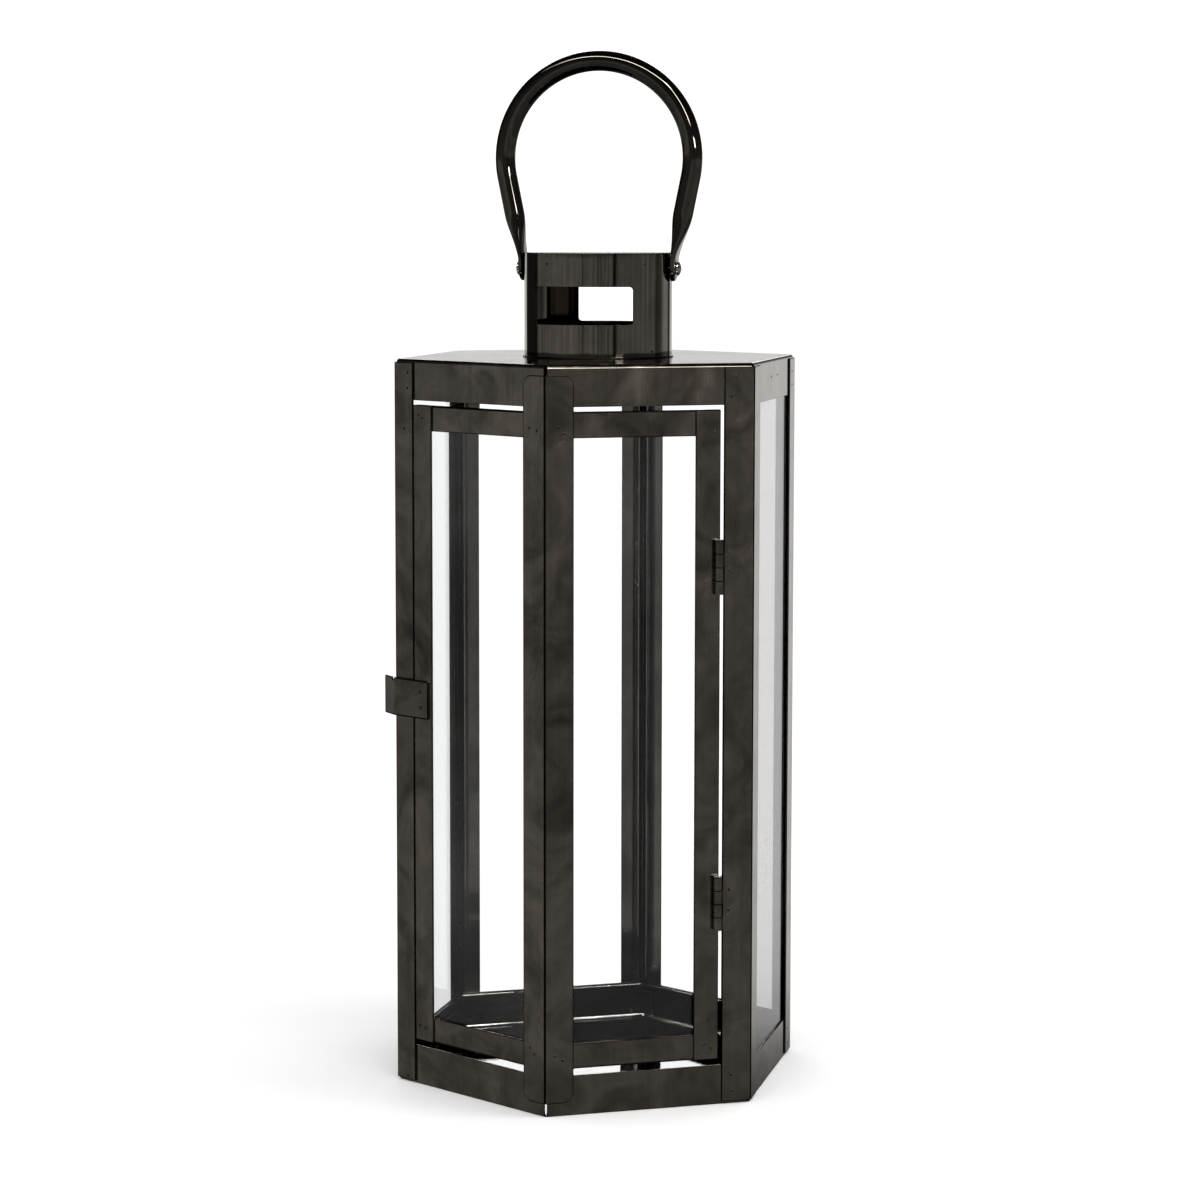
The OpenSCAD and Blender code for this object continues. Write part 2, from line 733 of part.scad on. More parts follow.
top_cap();
base_tray();
post_left();
post_hinge();
post_right();
post_back();
post_back_left();
strip_left();
strip_hinge();
strip_right();
strip_back();
strip_back_left();
pane_right();
pane_back_right();
pane_back_left();
pane_left();
ledges_lower();
ledges_upper();
collar();
collar_lid();
collar_ring();
handle_screws();
handle_nuts();
hinge_post_leaf_high();
hinge_post_leaf_low();
hinge_pin_high();
hinge_pin_low();
door_corner_post();
door_latch_stile();
door_hinge_stile();
door_rail_top_left();
door_rail_top_right();
door_rail_bottom_left();
door_rail_bottom_right();
door_pane_left();
door_pane_right();
door_corner_strip();
hinge_door_leaf_high();
hinge_door_leaf_low();
latch_plate();
latch_rivets();
handle_bail();
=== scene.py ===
# %% [markdown]
# # A hexagonal candle lantern in black nickel and glass
# This file dresses the CAD model of a lantern. The CAD says where every piece is and how
# it moves. Here the pieces get the surfaces that the eye sees: sheet metal with real
# folds and softened edges, a smooth ring handle, glass, and a small photo studio.
# Each step first says what the piece is, and then makes it with a few lines of code.

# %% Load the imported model
import math
import bmesh
import bpy
import numpy as np
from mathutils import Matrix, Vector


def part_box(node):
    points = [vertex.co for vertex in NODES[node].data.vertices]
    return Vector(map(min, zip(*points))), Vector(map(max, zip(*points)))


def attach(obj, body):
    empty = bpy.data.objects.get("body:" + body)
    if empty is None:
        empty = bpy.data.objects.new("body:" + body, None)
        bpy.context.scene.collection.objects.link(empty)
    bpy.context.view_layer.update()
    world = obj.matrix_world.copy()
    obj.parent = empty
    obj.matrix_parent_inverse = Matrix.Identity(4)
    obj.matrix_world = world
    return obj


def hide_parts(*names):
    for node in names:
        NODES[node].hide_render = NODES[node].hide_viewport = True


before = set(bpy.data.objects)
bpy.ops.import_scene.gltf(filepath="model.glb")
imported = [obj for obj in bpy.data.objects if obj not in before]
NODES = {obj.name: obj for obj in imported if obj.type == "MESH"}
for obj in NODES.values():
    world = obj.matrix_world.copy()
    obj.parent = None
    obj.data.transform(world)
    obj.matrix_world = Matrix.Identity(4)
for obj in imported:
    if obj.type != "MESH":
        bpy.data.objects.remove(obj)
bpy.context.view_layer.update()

# %% [markdown]
# ## Sizes
# All sizes are in millimetres, as in a workshop drawing, and turned into Blender's metres
# at the last moment. The large ones are read from the CAD nodes, so that the pieces stay
# where the CAD has them. The small ones, such as a sheet's thickness, are named here.
# The camera, the lights and the floor are in metres from the start.

# %% Driving sizes
MM = 0.001
SHEET = 0.9
STRIP_T = 0.6
GLASS_T = 2.0
POST_W = 16.0
HINGE_POST_W = 18.0
DOOR_POST_W = 17.0
STILE_W = 15.0
RAIL_H = 15.0
LIP_W = 8.0
DOOR_PROUD = 0.4
GAP_LATCH = 0.9
GAP_HINGE = 2.6
BAND_SLIT = 1.2
LEDGE_LEG = 5.0
LEDGE_LIP = 4.0
HEM_R = 0.55
KNUCKLE_R = 2.5
CAP_FOLD_R = 2.2
BASE_FOLD_R = 1.1
COS30, SIN30, TAN30 = (f(math.radians(30)) for f in (math.cos, math.sin, math.tan))


def low(node, axis):
    """Lowest coordinate of a CAD node along an axis, in millimetres."""
    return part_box(node)[0][axis] / MM


def high(node, axis):
    """Highest coordinate of a CAD node along an axis, in millimetres."""
    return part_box(node)[1][axis] / MM


def span(node):
    """Lowest and highest Z of a CAD node, in millimetres."""
    return low(node, 2), high(node, 2)


BODY_H = high("top_cap", 2)
BAND_TOP_Z = low("top_cap", 2)
BAND_LOW_Z = high("base_tray", 2)
SIDE = -low("door_corner_post", 1) - DOOR_PROUD / COS30
APOTHEM = SIDE * COS30
COLLAR_R = high("collar", 0)
COLLAR_TOP = high("collar", 2)
PIVOT_Z = sum(span("handle_screws")) / 2
BAND_Q = SHEET
PANE_Q = 2 * SHEET
STRIP_Q = PANE_Q + GLASS_T
DOOR_Q = -DOOR_PROUD
RAIL_Q = DOOR_Q + SHEET
DOOR_PANE_Q = RAIL_Q + SHEET
DOOR_STRIP_Q = DOOR_PANE_Q + GLASS_T
print(f"side {SIDE:.2f} mm, body {BODY_H:.1f} mm, collar {COLLAR_R:.1f} mm, pivot {PIVOT_Z:.1f} mm")

# %% [markdown]
# ## Camera
# The photograph was taken from a little right of the front corner, and from just above
# the flat top. A long lens keeps the uprights nearly parallel. The camera is aimed a few
# degrees down and shifted a little, which is how a studio camera keeps a tall object
# straight.

# %% The camera
CAMERA_AZIMUTH = math.radians(13.913)
CAMERA_PITCH = math.radians(5.623)
CAMERA_ROLL = math.radians(-0.072)
CAMERA_DISTANCE = 1.957
CAMERA_HEIGHT = 0.515
CAMERA_SIDESTEP = 0.001
SENSOR = 36.0
LENS = 97.88
SHIFT = -0.05


def make_camera():
    """Puts the camera at its azimuth, distance and height, aimed at the axis and pitched down."""
    data = bpy.data.cameras.new("camera")
    data.sensor_width = SENSOR
    data.lens = LENS
    data.shift_y = SHIFT
    data.clip_start, data.clip_end = 0.05, 100.0
    camera = bpy.data.objects.new("camera", data)
    bpy.context.scene.collection.objects.link(camera)
    sin_a, cos_a = math.sin(CAMERA_AZIMUTH), math.cos(CAMERA_AZIMUTH)
    camera.location = (CAMERA_DISTANCE * sin_a + CAMERA_SIDESTEP * cos_a,
                       -CAMERA_DISTANCE * cos_a + CAMERA_SIDESTEP * sin_a, CAMERA_HEIGHT)
    camera.rotation_euler = (math.pi / 2 - CAMERA_PITCH, CAMERA_ROLL, CAMERA_AZIMUTH)
    bpy.context.scene.camera = camera
    return camera


camera = make_camera()
bpy.context.scene.view_settings.view_transform = "Standard"
print("camera at", [round(v, 3) for v in camera.location])

# %% [markdown]
# ## Node helpers
# Materials are node trees. These short helpers add a node, set its values and join
# sockets, so that each recipe below reads as a list of steps.


# %% Node helpers
def feed(tree, node, inputs):
    """Gives a node's inputs their values: a socket is linked, a number or a colour is set."""
    for name, value in inputs.items():
        if isinstance(value, bpy.types.NodeSocket):
            tree.links.new(value, node.inputs[name])
        else:
            node.inputs[name].default_value = value


def add(tree, kind, inputs=None, **settings):
    """Adds a node of a kind to a tree, with its settings and the values of its inputs."""
    node = tree.nodes.new(kind)
    for name, value in settings.items():
        setattr(node, name, value)
    feed(tree, node, inputs or {})
    return node


def math_node(tree, operation, a, b):
    """One sum on two numbers or sockets."""
    return add(tree, "ShaderNodeMath", {0: a, 1: b}, operation=operation).outputs[0]


def remap(tree, value, start, end, to_start=0.0, to_end=1.0):
    """Carries the span from start to end over to the span from to_start to to_end."""
    spans = {"Value": value, 1: start, 2: end, 3: to_start, 4: to_end}
    return add(tree, "ShaderNodeMapRange", spans).outputs[0]


def noise(tree, where, scale, detail, roughness=0.5, distortion=0.0):
    """Cloudy noise between 0 and 1 in the coordinates given."""
    look = {"Scale": scale, "Detail": detail, "Roughness": roughness, "Distortion": distortion}
    return add(tree, "ShaderNodeTexNoise", {"Vector": where, **look}).outputs[0]


def mix_colours(tree, factor, a, b):
    """A colour between a and b."""
    return add(tree, "ShaderNodeMix", {0: factor, 6: a, 7: b}, data_type="RGBA").outputs[2]


def ramp(tree, factor, stops, reach=None):
    """A colour ramp with grey stops, given as (position, brightness). With a reach, positions
    run from minus the reach to the reach, as compass degrees and heights do."""
    node = add(tree, "ShaderNodeValToRGB", {"Fac": factor})
    elements = node.color_ramp.elements
    while len(elements) < len(stops):
        elements.new(0.5)
    for element, (position, brightness) in zip(elements, stops):
        element.position = (position + reach) / (2 * reach) if reach else position
        element.color = (brightness, brightness, brightness, 1.0)
    return node.outputs["Color"]


# %% [markdown]
# ## The studio
# Polished metal has almost no colour of its own: it shows the room. The lantern stood in
# front of a bright paper, in a dim room, with black boards beside the paper. Four lights
# hang in that room: a long bar high above the camera, an upright tube to its right, a
# small low light whose image is the bright line along the cap's fold, and a soft glow on
# the paper. The world below is that room, drawn as brightness over the compass and the
# height of a ray. Rays that have bounced off something glossy see the room. The camera,
# the glass and the floor see plain white, as the cut-out picture has it.

# %% The room that the metal mirrors
ROOM_STOPS = (  # degrees to the right of the camera, brightness of the room in front and of its boards
    (-180, 0.02), (-110, 0.02), (-106, 0.22), (-60, 0.26), (-25, 0.21), (-24, 0.02), (-23, 0.21),
    (-1.0, 0.21), (0, 0.06), (1.0, 0.21), (23, 0.20), (24, 0.0), (26, 0.01), (26.5, 0.09), (27, 0.0),
    (28.5, 0.01), (29.5, 0.19), (70, 0.20), (98, 0.20), (104, 0.04), (116, 0.12), (126, 0.45),
    (136, 0.40), (141, 0.05), (180, 0.05))
LOW_STOPS = ((-180, 0.22), (0, 0.205), (30, 0.18), (90, 0.20), (110, 0.12), (180, 0.12))
PAPER_STOPS = ((-180, 1.0), (-149.5, 1.0), (-147, 0.0), (147.5, 0.0), (150, 1.0), (180, 1.0))
FRONT_FALL = ((-0.285, 0.55), (-0.262, 0.74), (-0.238, 1.05), (-0.2, 0.92), (-0.12, 0.78), (-0.04, 1.0),
              (-0.005, 0.95), (0.015, 0.4), (0.06, 0.3), (0.3, 0.2), (0.5, 0.1), (1.0, 0.05))
PAPER_FALL = ((-0.29, 0.05), (-0.262, 0.08), (-0.2515, 0.165), (-0.2427, 0.42), (-0.225, 0.62),
              (-0.2, 0.68), (-0.1, 0.74), (-0.04, 0.76), (0.05, 0.60), (0.07, 0.62), (0.1, 0.3),
              (0.13, 0.12), (0.3, 0.10), (0.36, 0.02), (1.0, 0.02))
ROOM_LIGHTS = (  # span round the compass, span of heights, strength: bar, tube, low light, glow
    (((-100, 0.0), (-70, 0.15), (-40, 1.0), (37, 1.0), (38, 0.0)),
     ((0.70, 0.0), (0.71, 1.0), (0.75, 1.0), (0.76, 0.0)), 13.0),
    (((24, 0.0), (25, 1.0), (30.4, 1.0), (31.6, 0.0)),
     ((0.3, 0.0), (0.35, 1.0), (0.75, 1.0), (0.76, 0.0)), 13.0),
    (((27, 0.0), (28, 1.0), (38, 1.0), (39, 0.0)),
     ((0.11, 0.0), (0.12, 1.0), (0.20, 1.0), (0.21, 0.0)), 16.0),
    (((-180, 1.0), (-171, 1.0), (-169, 0.0), (169, 0.0), (171, 1.0), (180, 1.0)),
     ((0.14, 0.0), (0.18, 1.0), (0.31, 1.0), (0.34, 0.0)), 3.2))
TABLE_EDGE = (-0.09, -0.12)
CLOUD_STOPS = ((0.32, 0.62), (0.68, 1.38))
ROOM_STRENGTH = 1.2
WHITE = 1.25
FLOOR_LIGHT = 1.12


def make_world():
    """Builds the world: white for the camera, and the dim room for mirrored rays."""
    world = bpy.data.worlds.new("studio")
    bpy.context.scene.world = world
    world.use_nodes = True
    tree = world.node_tree
    tree.nodes.clear()
    where = add(tree, "ShaderNodeTexCoord").outputs["Generated"]
    facing = add(tree, "ShaderNodeMapping", {"Vector": where, "Rotation": (0, 0, -CAMERA_AZIMUTH)})
    parts = add(tree, "ShaderNodeSeparateXYZ", {0: facing.outputs[0]}).outputs
    ahead = math_node(tree, "MULTIPLY", parts["Y"], -1.0)
    compass = remap(tree, math_node(tree, "ARCTAN2", parts["X"], ahead), -math.pi, math.pi)
    height = remap(tree, parts["Z"], -1.0, 1.0)
    under = remap(tree, parts["Z"], *TABLE_EDGE)
    room, table = ramp(tree, compass, ROOM_STOPS, 180), ramp(tree, compass, LOW_STOPS, 180)
    front = mix_colours(tree, under, room, table)
    clouds = noise(tree, where, 13.0, 4.0, 0.6, 1.0)
    front = math_node(tree, "MULTIPLY", front, ramp(tree, height, FRONT_FALL, 1))
    front = math_node(tree, "MULTIPLY", front, ramp(tree, clouds, CLOUD_STOPS))
    paper = ramp(tree, height, PAPER_FALL, 1)
    seen = mix_colours(tree, ramp(tree, compass, PAPER_STOPS, 180), front, paper)
    for width, rise, strength in ROOM_LIGHTS:
        light = math_node(tree, "MULTIPLY", ramp(tree, compass, width, 180), ramp(tree, height, rise, 1))
        seen = math_node(tree, "ADD", seen, math_node(tree, "MULTIPLY", light, strength))
    mirrored = add(tree, "ShaderNodeBackground", {"Color": seen, "Strength": ROOM_STRENGTH})
    path = add(tree, "ShaderNodeLightPath").outputs
    diffuse = math_node(tree, "GREATER_THAN", path["Diffuse Depth"], 0.5)
    level = remap(tree, diffuse, 0.0, 1.0, WHITE, FLOOR_LIGHT)
    plain = add(tree, "ShaderNodeBackground", {"Color": (1, 1, 1, 1), "Strength": level})
    glossy = math_node(tree, "GREATER_THAN", path["Glossy Depth"], 0.5)
    both = add(tree, "ShaderNodeMixShader", {0: glossy, 1: plain.outputs[0], 2: mirrored.outputs[0]})
    add(tree, "ShaderNodeOutputWorld", {"Surface": both.outputs[0]})


make_world()

# %% [markdown]
# The floor is a plain white sweep. A mirror would show it in the lantern's low wall, and
# seen through a pane it would be a shade greyer than the background. The photograph shows
# neither, so a ray that has bounced off metal or gone through glass passes the floor, and
# meets the dark table top or the plain white that the world holds below.


# %% Floor and soft lights
PAPER_REACH = 12.0
PAPER_WHITE = 0.93
AIM_HEIGHT = 0.45


def make_floor():
    """A flat square of white paper under the lantern."""
    corners = np.array([(-1, -1, 0), (1, -1, 0), (1, 1, 0), (-1, 1, 0)]) * PAPER_REACH
    mesh = bpy.data.meshes.new("floor")
    mesh.from_pydata(corners.tolist(), [], [(0, 1, 2, 3)])
    floor = bpy.data.objects.new("floor", mesh)
    bpy.context.scene.collection.objects.link(floor)
    material = bpy.data.materials.new("white_paper")
    material.use_nodes = True
    tree = material.node_tree
    tree.nodes.clear()
    paper = add(tree, "ShaderNodeBsdfPrincipled", {"Base Color": (PAPER_WHITE, PAPER_WHITE, PAPER_WHITE, 1),
                                                   "Roughness": 0.9, "Specular IOR Level": 0.0})
    through = add(tree, "ShaderNodeBsdfTransparent")
    path = add(tree, "ShaderNodeLightPath").outputs
    bounced = math_node(tree, "MAXIMUM", path["Glossy Depth"], path["Transmission Depth"])
    unseen = math_node(tree, "GREATER_THAN", bounced, 0.5)
    both = add(tree, "ShaderNodeMixShader", {0: unseen, 1: paper.outputs[0], 2: through.outputs[0]})
    add(tree, "ShaderNodeOutputMaterial", {"Surface": both.outputs[0]})
    mesh.materials.append(material)


def soft_light(name, azimuth, elevation, distance, width, height, power):
    """A rectangular light at an azimuth to the right of the camera, aimed at the lantern."""
    data = bpy.data.lights.new(name, "AREA")
    data.shape = "RECTANGLE"
    data.size, data.size_y, data.energy = width, height, power
    light = bpy.data.objects.new(name, data)
    light.visible_glossy = False
    bpy.context.scene.collection.objects.link(light)
    a, e = CAMERA_AZIMUTH + math.radians(azimuth), math.radians(elevation)
    back = np.array((math.sin(a) * math.cos(e), -math.cos(a) * math.cos(e), math.sin(e)))
    light.location = np.array((0, 0, AIM_HEIGHT)) + back * distance
    light.rotation_euler = (math.pi / 2 - e, 0, a)


make_floor()
soft_light("overhead_softbox", 12, 52, 2.2, 2.4, 0.22, 9.0)
soft_light("side_softbox", 75, 40, 2.4, 1.0, 1.0, 13.0)

# %% [markdown]
# ## Finishes
# One effect is shared by all plated metal: the plate is never quite even. It has cloudy
# patches a few centimetres wide where the bath ran thinner, faint streaks from polishing
# and a slow wave where the thin sheet was pressed. The node group below makes all three
# from noise on Object coordinates, and gives out a colour, a roughness and a height.


# %% Shared group: uneven plating
PLATE_LOOK = {"Patch": 26.0, "Grain": 0.15, "Smooth": 0.07, "Dull": 0.16, "Wave": 1.0, "Streak": 0.02}
ALONG_THE_SHEET = (420.0, 420.0, 9.0)


def plating_group():
    """Group with a colour that wanders between two tones, a roughness that follows it, and a
    height made of a slow wave and fine streaks along the length of the sheet. Grain says how
    much of the colour follows the streaks instead of the cloudy patches."""
    group = bpy.data.node_groups.new("uneven_plating", "ShaderNodeTree")
    face = group.interface
    for name in ("Thin tone", "Thick tone"):
        face.new_socket(name=name, in_out="INPUT", socket_type="NodeSocketColor")
    for name, value in PLATE_LOOK.items():
        face.new_socket(name=name, in_out="INPUT", socket_type="NodeSocketFloat").default_value = value
    for name, kind in (("Color", "Color"), ("Roughness", "Float"), ("Height", "Float")):
        face.new_socket(name=name, in_out="OUTPUT", socket_type="NodeSocket" + kind)
    given = add(group, "NodeGroupInput").outputs
    where = add(group, "ShaderNodeTexCoord").outputs["Object"]
    patch = noise(group, where, given["Patch"], 5.0, 0.6, 1.4)
    long = add(group, "ShaderNodeMapping", {"Vector": where, "Scale": ALONG_THE_SHEET}).outputs[0]
    streak, wave = noise(group, long, 1.0, 3.0), noise(group, where, 11.0, 1.0)
    patchy, lined = remap(group, patch, 0.34, 0.66), remap(group, streak, 0.36, 0.68)
    tone = add(group, "ShaderNodeMix", {0: given["Grain"], 2: patchy, 3: lined}).outputs[0]
    colour = mix_colours(group, tone, given["Thin tone"], given["Thick tone"])
    dull = remap(group, patch, 0.36, 0.72, given["Smooth"], given["Dull"])
    slow = math_node(group, "MULTIPLY", wave, given["Wave"])
    fine = math_node(group, "MULTIPLY", streak, given["Streak"])
    height = math_node(group, "ADD", slow, fine)
    add(group, "NodeGroupOutput", {"Color": colour, "Roughness": dull, "Height": height})
    return group


PLATING = plating_group()


def new_material(name, slot):
    """A material with its slot's name on it, its tree and its Principled shader."""
    material = bpy.data.materials.new(name)
    material.use_nodes = True
    material["slot"] = slot
    return material, material.node_tree, material.node_tree.nodes["Principled BSDF"]


def metal(name, slot, thin, thick, depth=0.0005, **look):
    """A plated metal: the plating group feeds colour, roughness and bump of a mirror-like metal.
    What the look doesn't name stays as in PLATE_LOOK."""
    material, tree, shader = new_material(name, slot)
    given = PLATE_LOOK | {key.capitalize(): value for key, value in look.items()}
    given |= {"Thin tone": (*thin, 1), "Thick tone": (*thick, 1)}
    plate = add(tree, "ShaderNodeGroup", given, node_tree=PLATING).outputs
    bump = add(tree, "ShaderNodeBump", {"Height": plate["Height"], "Distance": depth})
    feed(tree, shader, {"Metallic": 1.0, "Base Color": plate["Color"], "Roughness": plate["Roughness"],
                        "Normal": bump.outputs[0]})
    return material


# %% The metals
black_nickel = metal("black_nickel_plate", "black_nickel", (0.115, 0.102, 0.087), (0.29, 0.257, 0.216))
drum_nickel = metal("black_nickel_drum", "black_nickel", (0.16, 0.142, 0.12), (0.25, 0.222, 0.188),
                    patch=20, grain=0.3, smooth=0.03, dull=0.08)
handle_nickel = metal("black_nickel_handle", "black_nickel", (0.10, 0.09, 0.076), (0.15, 0.134, 0.114),
                      patch=20, grain=0.0, smooth=0.02, dull=0.06, wave=0.3, streak=0.0)
# Near-black plate for folds, rims and cut edges: a painted shade where shade falls in the folds and along
# the edges.
painted_shade_black = metal("painted_shade_edge", "black_nickel", (0.005, 0.004, 0.003), (0.014, 0.012, 0.010),
                   patch=200, grain=0.3, smooth=0.25, dull=0.5)
# A light plate that stands for the highlights on rounded edges and lips: a painted highlight.
painted_highlight = metal("painted_highlight", "black_nickel", (0.40, 0.38, 0.35), (0.62, 0.60, 0.57),
                  patch=120, grain=0.2, smooth=0.08, dull=0.2)
# A near-black copy of the plate for the inner sides: a painted shade inside the lantern.
inside_painted_shade = metal("plate_inside_painted_shade", "black_nickel", (0.018, 0.016, 0.014), (0.045, 0.042, 0.038),
                     patch=60, grain=0.4, smooth=0.0, dull=0.04)
dark_nickel = metal("dark_nickel_strip", "dark_nickel", (0.008, 0.007, 0.006), (0.24, 0.225, 0.205),
                    patch=60, grain=0.85, smooth=0.08, dull=0.3, wave=2.0, streak=0.12, depth=0.0006)
bright_screw = metal("bright_screw", "screw_steel", (0.62, 0.61, 0.59), (0.78, 0.77, 0.75),
                     patch=300, smooth=0.12, dull=0.3, wave=0.2, streak=0.5, depth=0.0002)
weld_mark = metal("weld_mark", "dark_nickel", (0.02, 0.018, 0.016), (0.11, 0.10, 0.085),
                  patch=900, smooth=0.3, dull=0.6, wave=0.2, streak=0.2, depth=0.0002)
print("metals:", [m.name for m in bpy.data.materials if "slot" in m])


# %% [markdown]
# Clear glass is almost nothing but its reflections. Its shader is plain: full
# transmission, and the bending power of window glass. Dust makes the surface a hair
# rougher in patches. Where a pane is seen at a glancing angle its tint turns grey and takes
# light away, a little on most panes and much more on the pane on the right, which looks grey.

# %% The glass
CLEAR_TINT = (0.985, 0.993, 0.99, 1)
GLANCING_FROM, GLANCING_TO = 0.6, 0.8
HAZE_FROM, HAZE_TO, HAZE = 0.45, 0.8, 0.035


def make_glass(name, glancing):
    """Clear float glass whose roughness rises a hair where a noise says that dust has settled.
    Glancing is the brightness of its tint where the view runs along the pane."""
    material, tree, shader = new_material(name, "glass")
    view = add(tree, "ShaderNodeLayerWeight", {"Blend": 0.5}).outputs["Facing"]
    glance = remap(tree, view, GLANCING_FROM, GLANCING_TO)
    tint = mix_colours(tree, glance, CLEAR_TINT, (glancing, glancing, glancing, 1))
    where = add(tree, "ShaderNodeTexCoord").outputs["Object"]
    haze = remap(tree, noise(tree, where, 9.0, 5.0), HAZE_FROM, HAZE_TO, 0.0, HAZE)
    feed(tree, shader, {"Base Color": tint, "Roughness": haze, "Transmission Weight": 1.0,
                        "Metallic": 0.0, "IOR": 1.46, "Specular IOR Level": 0.25})
    return material


clear_glass = make_glass("clear_glass", 0.95)
# The pane on the right turns much greyer where it is seen at a glancing angle.
glancing_grey_glass = make_glass("glancing_grey_glass", 0.33)


# %% [markdown]
# ## Sheet metal
# Almost every part of the lantern is thin sheet, bent along straight lines. The outer
# skin of such a part is a path, seen end on, carried along a length. The path has
# straight runs and round folds. Solidify gives the skin its thickness, Bevel rounds the
# cut edges a little, and Weighted Normal keeps the flats flat in the mirror.

# %% Places on the hexagon
def turn(degrees):
    """Rotation about Z, as a 3 by 3 array whose rows are where X, Y and Z go."""
    a = math.radians(degrees)
    return np.array(((math.cos(a), math.sin(a), 0), (-math.sin(a), math.cos(a), 0), (0, 0, 1)))


def on_axis(angle):
    """Frame of a corner: Y runs inwards through the corner, and the origin is the axis."""
    return turn(angle + 90), np.zeros(3)


def on_face(angle):
    """Frame of a face: X along it from its middle, Y inwards from its outer plane, Z up."""
    axes = turn(angle + 90)
    return axes, -APOTHEM * axes[1]


def on_right_of(angle):
    """Frame of the face to the right of a corner: X runs away from that corner."""
    return turn(angle + 120), -SIDE * turn(angle + 90)[1]


def on_left_of(angle):
    """Frame of the face to the left of a corner: X again runs away from the corner."""
    axes = turn(angle + 60)
    axes[0] = -axes[0]
    return axes, -SIDE * turn(angle + 90)[1]


def corner_point(w, q):
    """A point at distance w from the corner on its right-hand face, at depth q."""
    return np.array((w * COS30 - q * SIN30, -SIDE + w * SIN30 + q * COS30))


def inner_corner(q):
    """The point straight inside the corner that lies at depth q below both faces."""
    return np.array((0.0, -SIDE + q / COS30))


def placed(local, where):
    """Points given in a frame's own X, Y and Z, carried to the lantern's."""
    axes, origin = where
    return local.reshape(-1, 3) @ axes + origin


# %% Paths with round folds
def folded(corners, radius, steps=6):
    """Path through the corners, each inner corner rounded: the arc starts at a distance of
    radius times tan(half the turn) before the corner, and runs round a centre at the radius
    beside the path, from the old direction to the new one. A third column numbers the fold
    that a point belongs to, and is zero at the two ends."""
    corners = [np.array(c, float) for c in corners]
    run = [np.append(corners[0], 0.0)[None]]
    for fold, (a, b, c) in enumerate(zip(corners, corners[1:], corners[2:]), 1):
        u, v = (b - a) / np.linalg.norm(b - a), (c - b) / np.linalg.norm(c - b)
        bend = math.atan2(u[0] * v[1] - u[1] * v[0], u @ v)
        left = np.array((-u[1], u[0])) * np.sign(bend)
        start = b - u * radius * math.tan(abs(bend) / 2)
        t = np.linspace(0, abs(bend), steps + 1)[:, None]
        arc = start + radius * (u * np.sin(t) + left * (1 - np.cos(t)))
        run.append(np.column_stack((arc, np.full(len(arc), fold))))
    return np.vstack(run + [np.append(corners[-1], 0.0)[None]])


def grid_faces(rows, columns, closed=False):
    """Quads between neighbouring points of a grid whose points are numbered row by row."""
    last = columns if closed else columns - 1
    i, j = np.meshgrid(np.arange(rows - 1), np.arange(last), indexing="ij")
    k = (j + 1) % columns
    a, b = i * columns, (i + 1) * columns
    return np.stack((a + j, a + k, b + k, b + j), -1).reshape(-1, 4)


# Fold number for the strip along a free edge, so that the strip takes the painted shade.
EDGE_MARK = 9


def run_along(path):
    """Distance of each point of a path from its start, measured along it."""
    return np.append(0, np.cumsum(np.linalg.norm(np.diff(path[:, :2], axis=0), axis=1)))


def rimmed(path, rim):
    """Adds a point at the rim's width from both free ends of a path, and numbers the points
    from there to the end as one fold, so that the strip along the edge is marked."""
    run = run_along(path)
    stop = np.array((rim, run[-1] - rim))
    extra = np.stack([np.interp(stop, run, path[:, 0]), np.interp(stop, run, path[:, 1]), (0, 0)], 1)
    order = np.argsort(np.concatenate((run, stop)), kind="stable")
    run = np.concatenate((run, stop))[order]
    path = np.vstack((path, extra))[order]
    path[(run < rim + 1e-6) | (run > run[-1] - rim - 1e-6), 2] = EDGE_MARK
    return path


def swept(path, start, end, where, rows=2, order=(0, 1, 2), rim=0.0):
    """Skin of a path carried along a length: row t lies at start + t (end - start), and start
    and end may differ from point to point. Order says which axes of the frame the path's two
    coordinates and the length run along. The third result marks the faces inside a fold, and
    those within the rim's width of both ends."""
    t = np.linspace(0, 1, rows)[:, None]
    first, last = start + np.zeros(len(path)), end + np.zeros(len(path))
    along = first + rim + t * (last - first - 2 * rim)
    if rim:
        along = np.vstack((first, along, last))
    local = np.zeros((*along.shape, 3))
    local[..., order[0]], local[..., order[1]], local[..., order[2]] = path[:, 0], path[:, 1], along
    # Faces inside a fold or in a rim are marked, and get slot 1: the painted shade.
    in_fold = (path[1:, 2] == path[:-1, 2]) & (path[1:, 2] > 0)
    marks = np.tile(in_fold, (len(along) - 1, 1))
    if rim:
        marks[[0, -1]] = True
    return placed(local, where), grid_faces(*along.shape), marks.reshape(-1)


# %% From arrays to a piece
SHARP_FROM = math.radians(35)


def merge(parts):
    """Joins several (points, faces, marks) into one, shifting the face numbers. A part without
    marks has none of its faces marked."""
    shift = np.cumsum([0] + [len(part[0]) for part in parts])
    faces = np.vstack([part[1] + start for part, start in zip(parts, shift)])
    marks = [part[2] if len(part) > 2 else np.zeros(len(part[1]), int) for part in parts]
    return np.vstack([part[0] for part in parts]), faces, np.concatenate(marks)


def radial_area(mesh):
    """Sum over the faces of normal times area, along the direction away from the lantern's axis."""
    normals, areas, centres = (np.zeros(len(mesh.polygons) * n) for n in (3, 1, 3))
    mesh.polygons.foreach_get("normal", normals)
    mesh.polygons.foreach_get("area", areas)
    mesh.polygons.foreach_get("center", centres)
    radial = centres.reshape(-1, 3) * (1, 1, 0)
    return (np.einsum("ij,ij->i", normals.reshape(-1, 3), radial) * areas).sum()


